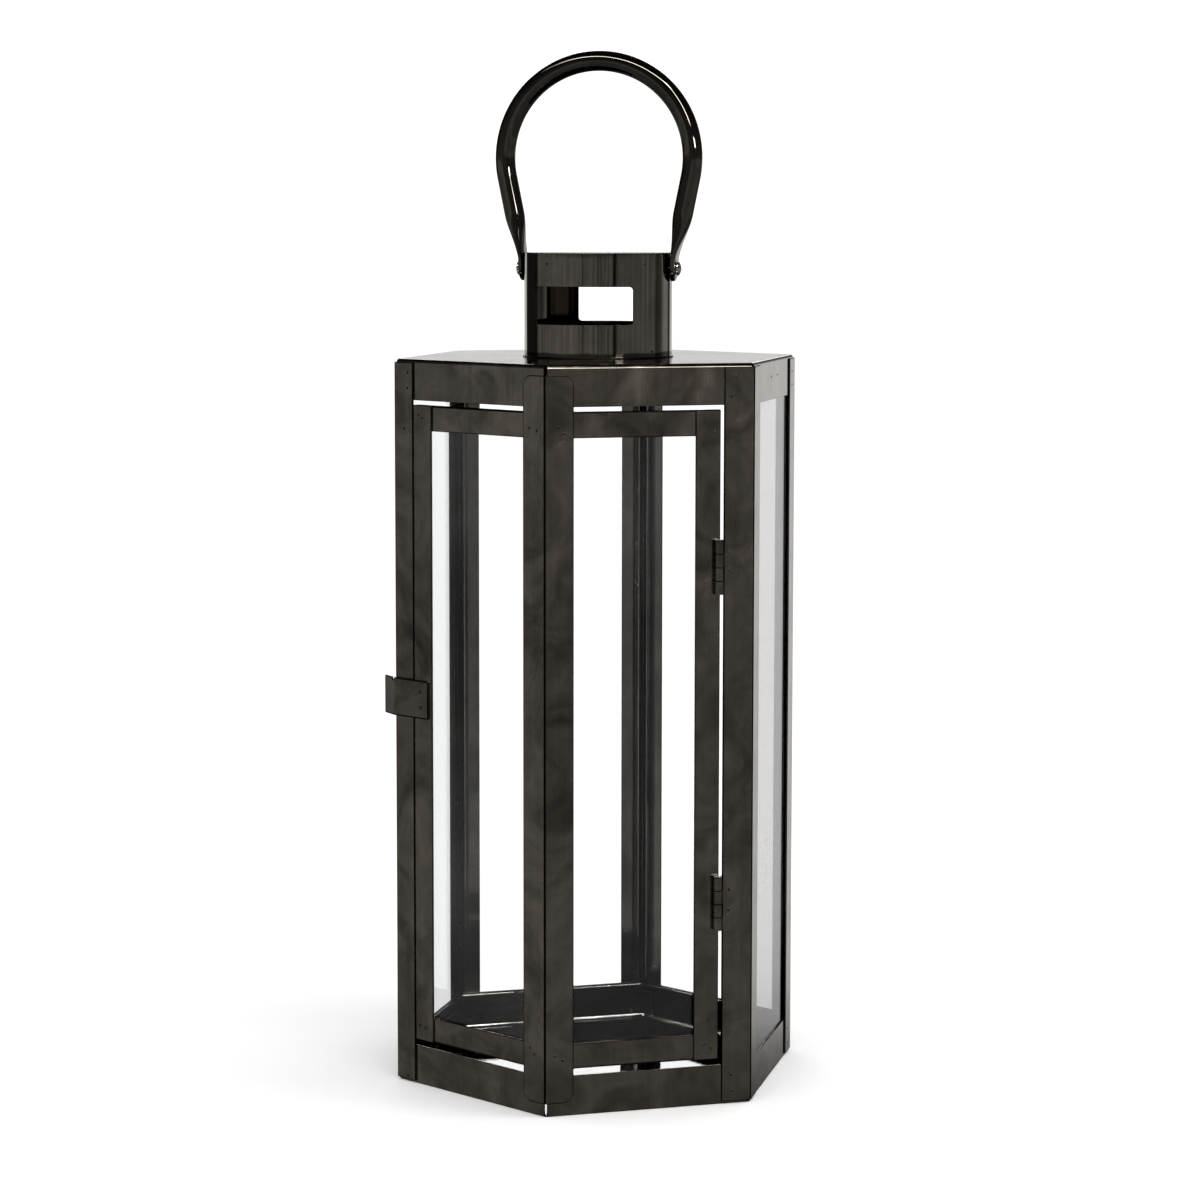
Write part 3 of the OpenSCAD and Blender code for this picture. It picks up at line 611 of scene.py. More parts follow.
def make_piece(name, parts, material, body, replaces=(), thickness=0.0, edge=0.0, closed=False,
               edge_slot=1, inside=None):
    """Turns point arrays into a finished piece that rides on a body. A closed piece gets its open
    ends filled and faces outwards all round; a sheet's skin is turned away from the axis. The
    three material slots are the plate, a near-black painted shade for folds and cut edges, and
    the inside: a painted shade on the trays' inner side, a painted highlight on the strips."""
    points, faces, marks = merge(parts)
    mesh = bpy.data.meshes.new(name)
    mesh.materials.append(material)
    mesh.materials.append(painted_shade_black)
    mesh.materials.append(inside or material)
    mesh.from_pydata((points * MM).tolist(), [], faces.tolist())
    mesh.polygons.foreach_set("material_index", marks.astype(np.int32))
    work = bmesh.new()
    work.from_mesh(mesh)
    bmesh.ops.remove_doubles(work, verts=work.verts, dist=0.00001)
    if closed:
        bmesh.ops.holes_fill(work, edges=[e for e in work.edges if e.is_boundary])
    bmesh.ops.recalc_face_normals(work, faces=work.faces)
    work.to_mesh(mesh)
    work.free()
    if not closed and radial_area(mesh) < 0:
        mesh.flip_normals()
    mesh.polygons.foreach_set("use_smooth", np.ones(len(mesh.polygons), bool))
    piece = bpy.data.objects.new(name, mesh)
    bpy.context.scene.collection.objects.link(piece)
    # Solidify puts the cut edges on slot 1, the painted shade, and the inner skin on slot 2; the bevel
    # takes edge_slot.
    if thickness:
        solid = piece.modifiers.new("sheet", "SOLIDIFY")
        solid.thickness, solid.offset, solid.use_even_offset = thickness * MM, -1.0, True
        solid.material_offset_rim = 1
        solid.material_offset = 2
    if edge:
        bevel = piece.modifiers.new("edges", "BEVEL")
        bevel.width, bevel.segments, bevel.limit_method = edge * MM, 2, "ANGLE"
        bevel.angle_limit, bevel.material = SHARP_FROM, edge_slot
        flat = piece.modifiers.new("flats", "WEIGHTED_NORMAL")
        flat.keep_sharp = True
    else:
        mesh.set_sharp_from_angle(angle=SHARP_FROM)
    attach(piece, body)
    if replaces:
        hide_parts(*replaces)
    print(f"{name}: {len(points)} points, rides {body}")


FIXED_FACES = {"right": 0, "back_right": 60, "back_left": 120, "left": 180}
ALL_FACES = (0, 60, 120, 180, 240, 300)
CORNERS = {"left": 210, "hinge": 330, "right": 30, "back": 90, "back_left": 150}
FRONT = 270
LATCH_SIDE, HINGE_SIDE = on_right_of(CORNERS["left"]), on_left_of(CORNERS["hinge"])
CUT_EDGE = 0.32
# Widths of the painted shade along free edges: RIM, and the wider DARK_RIM beside the door's gap.
RIM = 0.5
DARK_RIM = 0.9

# %% [markdown]
# ## Cap and base
# Both are shallow six-sided trays, pressed from one blank: a flat middle, six bands that
# turn over a round fold, and an open slit at each corner. The flat is a loft from a
# circle to a hexagon, which leaves the collar's hole open in the cap. The columns of the
# loft carry on over the fold and down the wall, except in the two end columns of each
# side, where the slit is.


# %% The trays
COLUMNS, RINGS = 16, 5
CENTRE_HOLE = 0.5
MITRE_GAP = 0.3


def tray_skin(flat_z, edge_z, hole_r, fold_r):
    """Skin of a tray. On the flat a point is hole + s (rim - hole), with the hole a circle and
    the rim a straight side; on the band the path is a quarter circle and then a straight wall."""
    wall = 2 * (APOTHEM - BAND_Q - SHEET) * TAN30 - BAND_SLIT
    rim_q = BAND_Q + fold_r
    rim_half = (APOTHEM - rim_q) * TAN30
    band = folded([(rim_q, flat_z), (BAND_Q, flat_z), (BAND_Q, edge_z)], fold_r - 1e-3, 8)[1:, :2]
    mitre = (APOTHEM - band[:, 0]) * TAN30 - MITRE_GAP
    half = np.minimum(wall / 2, mitre)[:, None]
    across = np.linspace(-1, 1, COLUMNS + 1)
    x = np.concatenate(([-rim_half], across * half[0], [rim_half]))
    bearing = np.arctan2(x, APOTHEM - rim_q)
    s = np.linspace(0, 1, RINGS)[:, None]
    ring_x = hole_r * np.sin(bearing) * (1 - s) + x * s
    ring_q = (APOTHEM - hole_r * np.cos(bearing)) * (1 - s) + rim_q * s
    flat = np.stack((ring_x, ring_q, np.full(ring_x.shape, flat_z)), -1)
    down = np.stack(np.broadcast_arrays(across * half, band[:, :1], band[:, 1:]), -1)
    parts = []
    for where in map(on_face, ALL_FACES):
        parts.append((placed(flat, where), grid_faces(RINGS, COLUMNS + 3)))
        parts.append((placed(down, where), grid_faces(len(band), COLUMNS + 1)))
    return parts


# The trays' inner side takes the near-black painted shade of the inside.
make_piece("cap_sheet", tray_skin(BODY_H, BAND_TOP_Z, COLLAR_R - SHEET, CAP_FOLD_R), black_nickel,
           "frame", ["top_cap"], SHEET, CUT_EDGE, inside=inside_painted_shade)
make_piece("base_sheet", tray_skin(0.0, BAND_LOW_Z, CENTRE_HOLE, BASE_FOLD_R), black_nickel,
           "frame", ["base_tray"], SHEET, CUT_EDGE, inside=inside_painted_shade)

# %% [markdown]
# Inside the base the floor turns up into the walls over a round fold, and the light line
# round the floor there is a painted highlight. A bar fills the corner between floor and
# wall, and the side of it that is seen is hollowed to a quarter circle.

# %% The base's inner fold
FILLET_R, FILLET_GAP = 1.5, 0.4
wall_q = BAND_Q + SHEET
t = np.linspace(0, math.pi / 2, 7)
bow = np.stack((wall_q + FILLET_R * (1 - np.sin(t)), SHEET + FILLET_R * (1 - np.cos(t))), 1)
fillet = np.pad(np.vstack(([(wall_q, SHEET)], bow[::-1], [(wall_q, SHEET)])), ((0, 0), (0, 1)))
ends = (APOTHEM - fillet[:, 0]) * TAN30 - FILLET_GAP
make_piece("base_inner_fold", [swept(fillet, -ends, ends, on_face(a), order=(1, 2, 0)) for a in ALL_FACES],
           painted_highlight, "frame", closed=True)


# %% [markdown]
# ## Corner posts
# A post is one strip folded once, to the 120 degrees of a hexagon's corner. The door's
# own post at the front corner has generously rounded ends, so each point of the path has
# its own height there: near a free edge the end of the flange follows a quarter circle.

# %% The posts
POST_FOLD_R = 1.2
HEM_LEAN, HEM_DEPTH = 0.4, 1.4


def post_path(w_left, w_right, q, radius):
    """Path from the left flange's free edge round the corner to the right flange's."""
    left = corner_point(w_left, q) * (-1, 1)
    return folded([left, inner_corner(q), corner_point(w_right, q)], radius)


for name, angle in CORNERS.items():
    w_left = HINGE_POST_W if name == "hinge" else POST_W
    path = post_path(w_left, POST_W, 0.0, POST_FOLD_R)
    if name == "hinge":
        hem = corner_point(w_left + HEM_LEAN, HEM_DEPTH) * (-1, 1)
        # The hem is marked as an edge strip and takes the painted shade.
        path = np.vstack((np.append(hem, EDGE_MARK), path))
        path[1, 2] = EDGE_MARK
    # The strips along the free edges take the painted shade, wider on the left post beside the latch's gap.
    path = rimmed(path, DARK_RIM if name == "left" else RIM)
    node = "post_" + name
    make_piece("corner_" + node, [swept(path, *span(node), on_axis(angle), rim=RIM)],
               black_nickel, "frame", [node], SHEET, CUT_EDGE)


def rounded_ends(path, z0, z1, radius):
    """Lower and upper height of each path point: full away from the free edges, and on a quarter
    circle within the radius of one."""
    run = run_along(path)
    near = np.minimum(run, run[-1] - run)
    rise = radius - np.sqrt(np.maximum(0, radius**2 - np.maximum(0, radius - near) ** 2))
    return z0 + rise, z1 - rise


def with_rounding(path, radius, steps=8):
    """Adds points near both free ends of a path, closer together towards the end."""
    t = radius * (1 - np.cos(np.linspace(0, math.pi / 2, steps + 1)))[1:, None]
    first, last = (path[1] - path[0]) * (1, 1, 0), (path[-2] - path[-1]) * (1, 1, 0)
    first, last = first / np.linalg.norm(first), last / np.linalg.norm(last)
    return np.vstack((path[:1], path[0] + first * t, path[1:-1], (path[-1] + last * t)[::-1], path[-1:]))


DOOR_POST_ROUND, DOOR_POST_FOLD_R, DOOR_POST_EDGE = 6.0, 1.4, 0.45
path = post_path(DOOR_POST_W, DOOR_POST_W, DOOR_Q, DOOR_POST_FOLD_R)
path = rimmed(with_rounding(path, DOOR_POST_ROUND), RIM)
node = "door_corner_post"
lower, upper = rounded_ends(path, *span(node), DOOR_POST_ROUND)
make_piece("door_front_post", [swept(path, lower, upper, on_axis(FRONT), rim=RIM)],
           black_nickel, "door", [node], SHEET, DOOR_POST_EDGE)

# %% [markdown]
# ## Door stiles and rails
# A stile is a channel: a wide outer flange, a web at its edge and a lip behind the glass.
# A rail is a plate behind the stiles, with a shelf turned in under the glass. Both are
# paths again; only the direction in which they are carried differs.

# %% Stiles and rails
DOOR_Z0, DOOR_Z1 = span("door_latch_stile")
LATCH_EDGE = POST_W + GAP_LATCH
HINGE_EDGE = HINGE_POST_W + GAP_HINGE
RAIL_MARGIN = (DOOR_PANE_Q * 0.5 + 2 * STRIP_T) / COS30
STILE_ROUND, STILE_FOLD_R, RAIL_FOLD_R = 0.6, 0.5, 1.1
LIP_Q = DOOR_STRIP_Q + SHEET
for name, side, edge, lean, where in (("latch", "left", LATCH_EDGE, 0.0, LATCH_SIDE),
                                      ("hinge", "right", HINGE_EDGE, HEM_LEAN, HINGE_SIDE)):
    path = folded([(edge + STILE_W, DOOR_Q), (edge, DOOR_Q), (edge - lean, LIP_Q), (edge + LIP_W, LIP_Q)],
                  STILE_FOLD_R, 5)
    # The web, facing the gap beside the post, is marked like a fold and takes the painted shade.
    path[path[:, 0] < edge + 0.05, 2] = 1
    path = rimmed(with_rounding(path, STILE_ROUND, 3), RIM)
    lower, upper = rounded_ends(path, DOOR_Z0, DOOR_Z1, STILE_ROUND)
    make_piece(f"door_stile_{name}", [swept(path, lower, upper, where, rim=RIM)],
               black_nickel, "door", [f"door_{name}_stile"], SHEET, CUT_EDGE)
    for level, z, way in (("bottom", DOOR_Z0, 1), ("top", DOOR_Z1, -1)):
        shelf = [(RAIL_Q, z + way * RAIL_H), (RAIL_Q, z), (DOOR_STRIP_Q, z)]
        path = rimmed(folded(shelf, RAIL_FOLD_R, 5), RIM)
        skin = swept(path, edge + SHEET, SIDE - RAIL_MARGIN, where, order=(1, 2, 0))
        make_piece(f"rail_{level}_{side}", [skin], black_nickel, "door",
                   [f"door_rail_{level}_{side}"], SHEET, CUT_EDGE)


# %% [markdown]
# ## Strips behind the glass
# In each inner corner a thin folded strip holds the edges of two panes. It was pressed in
# by hand, so its lips are a little buckled, and the buckles catch the light as the ragged
# bright marks that show through the glass. Here a lip's face moves inwards by the sum of
# a few sine waves, never outwards into the pane. The lips' edges and the inner fold get a
# painted shade, and a narrow band along each lip a painted highlight, for the brightest marks.

# %% The corner strips
BUCKLE, STRIP_EDGE = 0.16, 0.2
WAVES = ((23, 1.0, 1.0), (9.1, 2.3, 0.7), (4.3, 1.7, 0.35), (61, 1.0, 0.8))  # length, phase, height
GLINT_W, LIP_SHARE, HALF_FOLLOWS = 0.45, 0.45, 0.6
LEFT_PHASE, LEFT_SHIFT = 1.9, 40


def buckle(z, seed):
    """Sum of four sine waves along the height, cut off below zero, in millimetres."""
    wave = sum(np.sin(z / length + phase * seed) * height for length, phase, height in WAVES)
    return BUCKLE * np.maximum(0, wave)


def strip_parts(post_q, lip_q, z0, z1, where, seed, rows=160):
    """Closed bar with the strip's section; the two lips' inner faces follow the buckle. The tables
    give each point of the outline its share of the buckle and each face its material slot."""
    root, inner = inner_corner(post_q), inner_corner(lip_q + STRIP_T)
    beside = np.array((STRIP_T, STRIP_T * TAN30))
    tip, back = corner_point(LIP_W, lip_q), corner_point(LIP_W, lip_q + STRIP_T)
    middle = corner_point((lip_q + STRIP_T) * 0.5 + LIP_W * LIP_SHARE, lip_q + STRIP_T)
    glint = middle + (inner - middle) * GLINT_W / np.linalg.norm(inner - middle)
    right = np.array((root + beside, inner_corner(lip_q) + beside, tip, back, middle, glint))
    outline = np.vstack(([root], right, [inner], (right * (-1, 1))[::-1]))
    moves = np.array((0, 0, 0, 0, HALF_FOLLOWS, 1, 1, 0, 1, 1, HALF_FOLLOWS, 0, 0, 0))
    # Slot 1 is the painted shade, slot 2 the painted highlight.
    marks = np.array((0, 0, 0, 1, 0, 2, 1, 1, 2, 0, 1, 0, 0, 0))
    z = np.linspace(z0, z1, rows)
    phase = np.where(outline[:, 0] < 0, LEFT_PHASE, 0.0)
    push = moves * buckle(z[:, None] + LEFT_SHIFT * phase, seed)
    local = np.zeros((rows, len(outline), 3))
    local[..., 0] = outline[:, 0] - np.sign(outline[:, 0]) * push * 0.5
    local[..., 1] = outline[:, 1] + push
    local[..., 2] = z[:, None]
    return placed(local, where), grid_faces(rows, len(outline), closed=True), np.tile(marks, rows - 1)


for seed, (name, angle) in enumerate(CORNERS.items()):
    node = "strip_" + name
    part = strip_parts(SHEET, STRIP_Q, *span(node), on_axis(angle), seed + 0.7)
    make_piece("glazing_" + node, [part], dark_nickel, "frame", [node], edge=STRIP_EDGE, closed=True,
               edge_slot=0, inside=painted_highlight)
part = strip_parts(RAIL_Q, DOOR_STRIP_Q, DOOR_Z0, DOOR_Z1, on_axis(FRONT), 6.1)
make_piece("glazing_door_strip", [part], dark_nickel, "door", ["door_corner_strip"], edge=STRIP_EDGE,
           closed=True, edge_slot=0, inside=painted_highlight)


# %% [markdown]
# Below the strips, a folded foot in each corner joins two walls of the base. Along each
# wall a ledge carries the glass, and a second one above catches it. A ledge's section is
# like a Z: a leg on the wall, a shelf under the pane and a lip behind it. The lip ends in
# a small hem, turned over a wire, and that round edge, in a painted highlight, draws a
# bright line along the wall. So each ledge is made of two pieces, the sheet and the hem.
# The feet and the ledge sheets take the painted shade of the inside.

# %% Corner feet and ledges
FOOT_Z0, FOOT_Z1, FOOT_T, FOOT_EDGE, FOOT_FOLD_R = 2.5, 17.5, 0.5, 0.2, 0.8
foot = post_path(LIP_W, LIP_W, PANE_Q + STRIP_T + 0.05, FOOT_FOLD_R)
for name, angle in CORNERS.items():
    make_piece("corner_foot_" + name, [swept(foot, FOOT_Z0, FOOT_Z1, on_axis(angle))], inside_painted_shade,
               "frame", (), FOOT_T, FOOT_EDGE)
PANE_ROOM = 1.7
PANE_HALF = SIDE / 2 - (STRIP_Q * 0.5 + PANE_ROOM) / COS30
LEDGE_FOLD_R, LEDGE_EDGE = 0.7, 0.15
t = np.linspace(0, 2 * math.pi, 17)
for node, way in (("ledges_lower", 1), ("ledges_upper", -1)):
    z = (low(node, 2) + LEDGE_LEG) if way > 0 else (high(node, 2) - LEDGE_LEG)
    section = [(PANE_Q, -LEDGE_LEG), (PANE_Q, STRIP_T), (STRIP_Q, STRIP_T), (STRIP_Q, STRIP_T + LEDGE_LIP)]
    path = folded([(q, z + way * rise) for q, rise in section], LEDGE_FOLD_R) * (1, 1, 0)
    wire = np.stack((STRIP_Q + STRIP_T / 2 + HEM_R * np.cos(t), path[-1, 1] + HEM_R * np.sin(t), 0 * t), 1)
    for name, line, finish, sheet in (("sheet", path, inside_painted_shade, True), ("hem", wire, painted_highlight, False)):
        parts = [swept(line, -PANE_HALF, PANE_HALF, on_face(face), order=(1, 2, 0))
                 for face in FIXED_FACES.values()]
        make_piece(f"{node}_{name}", parts, finish, "frame", [node] * sheet, STRIP_T * sheet,
                   LEDGE_EDGE * sheet, closed=not sheet)


# %% [markdown]
# ## Glass panes
# A pane is cut from float glass and its sharp edges are taken off with a stone. Each is a
# slab with a narrow ground slope all round, made as four nested rectangles: the front
# face, its slope, the back slope and the back face.

# %% The panes
GROUND = 0.35


def pane_part(x0, x1, q, z0, z1, where):
    """Slab between x0 and x1, z0 and z1, from depth q to q + the glass thickness. Its outline is
    full in the middle of the edge and drawn in by the ground slope at both faces."""
    square = np.array(((0, 0), (1, 0), (1, 1), (0, 1)))
    inset = np.array((GROUND, 0.0, 0.0, GROUND))[:, None, None]
    depth = np.array((q, q + GROUND, q + GLASS_T - GROUND, q + GLASS_T))[:, None]
    spot = (x0, z0) + square * (x1 - x0, z1 - z0) + inset * (1 - 2 * square)
    local = np.zeros((4, 4, 3))
    local[..., 0], local[..., 1], local[..., 2] = spot[..., 0], depth, spot[..., 1]
    return placed(local, where), grid_faces(4, 4, closed=True)


for name, angle in FIXED_FACES.items():
    node = "pane_" + name
    part = pane_part(-PANE_HALF, PANE_HALF, PANE_Q, *span(node), on_face(angle))
    make_piece("glass_" + name, [part], glancing_grey_glass if name == "right" else clear_glass, "frame", [node],
               closed=True)
PANE_PLAY = 0.5
door_pane_end = SIDE - (DOOR_STRIP_Q * 0.5 + PANE_ROOM) / COS30
for name, edge, where in (("left", LATCH_EDGE, LATCH_SIDE), ("right", HINGE_EDGE, HINGE_SIDE)):
    node = "door_pane_" + name
    start = edge + SHEET + PANE_PLAY
    part = pane_part(start, door_pane_end, DOOR_PANE_Q, *span(node), where)
    make_piece("door_glass_" + name, [part], clear_glass, "door", [node], closed=True)

# %% [markdown]
# ## Collar
# The collar is a strip rolled to a drum, with a window in front and a smaller one behind.
# Its skin is a grid of compass angle and height. Columns are packed where a window's
# round corners are, and there the row along the window's edge dips by the rounding's
# formula, so the opening gets its corners without any cutting.

# %% The collar's skin
WINDOW_H, WINDOW_SILL, WINDOW_ROUND = 22.2, 20.0, 2.0
WINDOWS = ((-90.0, 29.5), (90.0, 22.0))  # compass angle of the middle, half the width
SILL_ROW, HEAD_ROW = 5, 11


def collar_skin():
    """Cylinder with two windows. A window's edge lies at an angle of arcsin(half width / radius)
    from its middle, and in its corners the height is level - r + sqrt(r^2 - (x - x0)^2)."""
    arc = np.linspace(0, math.pi / 2, 6)
    angles = [np.linspace(-180, 180, 144, endpoint=False)]
    for middle, half in WINDOWS:
        x = half - WINDOW_ROUND + WINDOW_ROUND * np.sin(arc)
        beside = np.degrees(np.arcsin(x / COLLAR_R))
        angles += [middle + beside, middle - beside]
    angles = np.unique(np.round(np.concatenate(angles), 6))
    sill, head = BODY_H + WINDOW_SILL, BODY_H + WINDOW_SILL + WINDOW_H
    z = np.concatenate((np.linspace(BODY_H, sill, 6), np.linspace(sill, head, 7)[1:],
                        np.linspace(head, COLLAR_TOP, 6)[1:]))
    height = np.repeat(z[:, None], len(angles), 1)
    cut = np.zeros((len(z) - 1, len(angles)), bool)
    rows_in = (z[:-1] > sill - 0.01) & (z[1:] < head + 0.01)
    for middle, half in WINDOWS:
        off = np.degrees(np.arcsin(half / COLLAR_R))
        inside = np.abs(angles - middle) < off + 1e-4
        across = np.abs(COLLAR_R * np.sin(np.radians(angles - middle)))
        past = np.maximum(0, across - half + WINDOW_ROUND)
        dip = WINDOW_ROUND - np.sqrt(np.maximum(0, WINDOW_ROUND**2 - past**2))
        height[SILL_ROW, inside] = (sill + dip)[inside]
        height[HEAD_ROW, inside] = (head - dip)[inside]
        cut |= rows_in[:, None] & (inside & np.roll(inside, -1))[None]
    a = np.radians(angles)
    points = np.stack(np.broadcast_arrays(COLLAR_R * np.cos(a), COLLAR_R * np.sin(a), height), -1)
    faces = grid_faces(len(z), len(angles), closed=True)
    return points.reshape(-1, 3), faces[~cut.reshape(-1)]


make_piece("collar_drum", [collar_skin()], drum_nickel, "frame", ["collar"], SHEET, CUT_EDGE)


# %% [markdown]
# Where the drum stands on the cap, a thin dark ring in the crease between them is a
# painted shade. It is a quarter circle turned about the axis.

# %% The painted shade at the collar's foot
BEAD_R, BEAD_IN, BEAD_DOWN = 0.9, 0.3, 0.1  # the bead starts inside the drum and the cap


def turned(profile, steps=96):
    """Skin of a profile, given as (radius, height), turned about the lantern's axis."""
    a = np.linspace(0, 2 * math.pi, steps, endpoint=False)
    r, z = profile[:, :1], profile[:, 1:]
    points = np.stack(np.broadcast_arrays(r * np.cos(a), r * np.sin(a), z + 0 * a), -1)
    return points.reshape(-1, 3), grid_faces(len(profile), steps, closed=True)


t = np.linspace(0, math.pi / 2, 7)
bead = np.stack((COLLAR_R - BEAD_IN + (BEAD_R + BEAD_IN) * np.cos(t),
                 BODY_H - BEAD_DOWN + (BEAD_R + BEAD_DOWN) * np.sin(t)), 1)
make_piece("collar_foot_shade", [turned(bead)], painted_shade_black, "frame")

# %% [markdown]
# The lid closes the drum: a pressed disc with a soft edge and a rim that slides inside.

# %% The lid
LID_R, LID_FOLD_R = COLLAR_R - SHEET, 1.3
lid_path = folded([(0.001, COLLAR_TOP), (LID_R * 0.5, COLLAR_TOP), (LID_R, COLLAR_TOP),
                   (LID_R, low("collar_lid", 2))], LID_FOLD_R)[:, :2]
make_piece("collar_top", [turned(lid_path)], black_nickel, "frame", ["collar_lid"], SHEET, CUT_EDGE)

# %% [markdown]
# ## Ring handle
# The handle is one round tube, bent to a ring. Its two legs run straight to the screws,
# where the tube is pressed flat and its end is rounded. The shape is a section carried
# along a path: a circle that turns into a flat oval over the last stretch. The section
# is a superellipse: each coordinate is the cosine or sine raised to a power, and the
# power falls below one as the tube gets flat.

# %% The handle's path and section
RING_R, RING_RISE, TUBE_D = 57.4, 65.5, 12.0
STRAP_T, STRAP_W, STRAP_TIP, KNEE_Z, FLAT_RUN = 3.4, 16.0, 7.5, 6.2, 27.0
STRAP_GAP = 0.5
STRAP_X = COLLAR_R + STRAP_GAP + STRAP_T / 2
FLAT_POWER, TIP_THIN, KNEE_EASE = 0.55, 0.25, 3.0


def handle_half(arc_steps=72, leg_steps=36, end_steps=14):
    """Right half of the middle line, as x, height, lean of the tangent and distance left to the
    knee, and the share of the full half width that each point keeps. The ring is an arc, and
    the leg its tangent through the knee; at the end the share falls like a cosine."""
    reach = math.hypot(STRAP_X, RING_RISE - KNEE_Z)
    lean = math.asin(RING_R / reach) - math.atan2(STRAP_X, RING_RISE - KNEE_Z)
    leg = math.sqrt(reach**2 - RING_R**2)
    end = math.pi / 2 + lean
    a = np.linspace(0, end, arc_steps + 1)
    arc = np.stack((RING_R * np.sin(a), RING_RISE + RING_R * np.cos(a), a - math.pi / 2,
                    leg + RING_R * (end - a)), 1)
    d = leg * (1 - np.linspace(0, 1, leg_steps + 1)[1:])
    ease = lean * np.clip(d / KNEE_EASE + 0.5, 0, 1)
    straight = np.stack((STRAP_X + d * math.sin(lean), KNEE_Z + d * math.cos(lean), ease, d), 1)
    drop = np.linspace(KNEE_Z, STRAP_W / 2 - STRAP_TIP, 6)[1:]
    flat = np.stack((STRAP_X + 0 * drop, drop, 0 * drop, 0 * drop), 1)
    t = np.linspace(0, math.pi / 2, end_steps + 1)[1:]
    tip_z = STRAP_W / 2 - STRAP_TIP - STRAP_W / 2 * np.sin(t)
    tip = np.stack((STRAP_X + 0 * t, tip_z, 0 * t, 0 * t), 1)
    rows = np.vstack((arc, straight, flat, tip))
    share = np.concatenate((np.ones(len(rows) - len(t)), np.maximum(np.cos(t), 0.02)))
    return rows, share


def handle_part(sides=48):
    """Both halves of the tube. Around the section at angle k, the width runs along Y and the
    thickness across the path; flatness follows a smooth step over the last stretch."""
    rows, share = handle_half()
    s = np.clip(1 - rows[:, 3] / FLAT_RUN, 0, 1)
    f = (s * s * (3 - 2 * s))[:, None]
    half_w = (TUBE_D / 2 + (STRAP_W / 2 - TUBE_D / 2) * f) * share[:, None]
    half_t = TUBE_D / 2 + (STRAP_T / 2 - TUBE_D / 2) * f
    pressed = half_t * (TIP_THIN + (1 - TIP_THIN) * np.sqrt(share[:, None]))
    power = 1 + (FLAT_POWER - 1) * f
    k = np.linspace(0, 2 * math.pi, sides, endpoint=False)
    y = half_w * np.sign(np.sin(k)) * np.abs(np.sin(k)) ** power
    n = pressed * np.sign(np.cos(k)) * np.abs(np.cos(k)) ** power + pressed - half_t
    x = rows[:, :1] + n * np.cos(rows[:, 2:3])
    z = PIVOT_Z + rows[:, 1:2] - n * np.sin(rows[:, 2:3])
    right = np.stack((x, y, z), -1)
    ring = np.concatenate(((right * (-1, 1, 1))[::-1], right[1:]))
    return ring.reshape(-1, 3), grid_faces(len(ring), sides, closed=True)


make_piece("ring_handle", [handle_part()], handle_nickel, "handle", ["handle_bail"], closed=True)

# %% [markdown]
# ## Latch
# The latch is a small bent plate, riveted to the door's stile. Its tab reaches past the
# lantern's corner, where a thumb finds it, and it has a small round notch where it bends.

# %% The latch plate
LATCH_LEN, LATCH_TAB, LATCH_BEND = 29.3, 13.0, math.radians(18)
LATCH_FOLD_R, LATCH_ROUND, NOTCH_R = 1.5, 1.2, 1.6
FINE_FROM, FINE_TO = -3.4, 0.4  # between these the path's points give way to a finer row
LATCH_Z0, LATCH_Z1 = span("latch_plate")
latch_q = DOOR_Q - SHEET
tip = (-LATCH_TAB * math.cos(LATCH_BEND), latch_q + LATCH_TAB * math.sin(LATCH_BEND))
path = folded([(LATCH_LEN, latch_q), (0, latch_q), tip], LATCH_FOLD_R, 5)
path = with_rounding(path, LATCH_ROUND, 5)
notch = np.linspace(-2 * NOTCH_R, 0.0, 13)[::-1]
bent = np.stack((notch, np.interp(notch, path[::-1, 0], path[::-1, 1]), 0 * notch), 1)
path = np.vstack((path[path[:, 0] > FINE_TO], bent, path[path[:, 0] < FINE_FROM])) * (1, 1, 0)
# A wide strip along the latch's edges takes the painted shade of the gap's shadow.
path = rimmed(path, DARK_RIM)
lower, upper = rounded_ends(path, LATCH_Z0, LATCH_Z1, LATCH_ROUND)
upper = upper - np.sqrt(np.maximum(0, NOTCH_R**2 - (path[:, 0] + NOTCH_R) ** 2))
make_piece("latch_tongue", [swept(path, lower, upper, LATCH_SIDE, rim=DARK_RIM)],
           black_nickel, "door", ["latch_plate"], SHEET, CUT_EDGE)


# %% [markdown]
# ## Rivets and weld marks
# A rivet's head is a low dome. A spot weld leaves a shallow dimple with a raised rim, a
# couple of millimetres across and darker than the plate around it. Both are profiles
# turned about a line that stands square on a face.

# %% Small round things on a face
def button(profile, where, u, z, q):
    """A profile of (radius, height above the face), turned about the face's normal at (u, z),
    with height zero at depth q."""
    points, faces = turned(profile, 20)
    return placed(points[:, (0, 2, 1)] * (1, -1, 1) + (u, q, z), where), faces


t = np.linspace(0, math.pi / 2, 7)
DOME = np.stack((0.05 + 0.95 * np.sin(t), 0.4 * np.cos(t)), 1)
TAIL = np.stack((0.05 + 1.4 * np.sin(t), 0.3 * np.cos(t)), 1)
RIVET_U, RIVET_PITCH = LATCH_LEN - 6.3, 9.2
LATCH_Z = (LATCH_Z0 + LATCH_Z1) / 2
rivets = []
for z in (LATCH_Z - RIVET_PITCH / 2, LATCH_Z + RIVET_PITCH / 2):
    rivets.append(button(DOME, LATCH_SIDE, RIVET_U, z, latch_q))
    rivets.append(button(TAIL * (1, -1), LATCH_SIDE, RIVET_U, z, RAIL_Q))
make_piece("rivet_heads", rivets, weld_mark, "door", ["latch_rivets"], closed=True)

# %% [markdown]
# A welder puts a pair of spots where two sheets overlap, and never in quite the same
# place. On the door, its two posts, the band beside it and the collar they are listed one
# by one, as (distance from the corner, height). The other flanges get even ones.

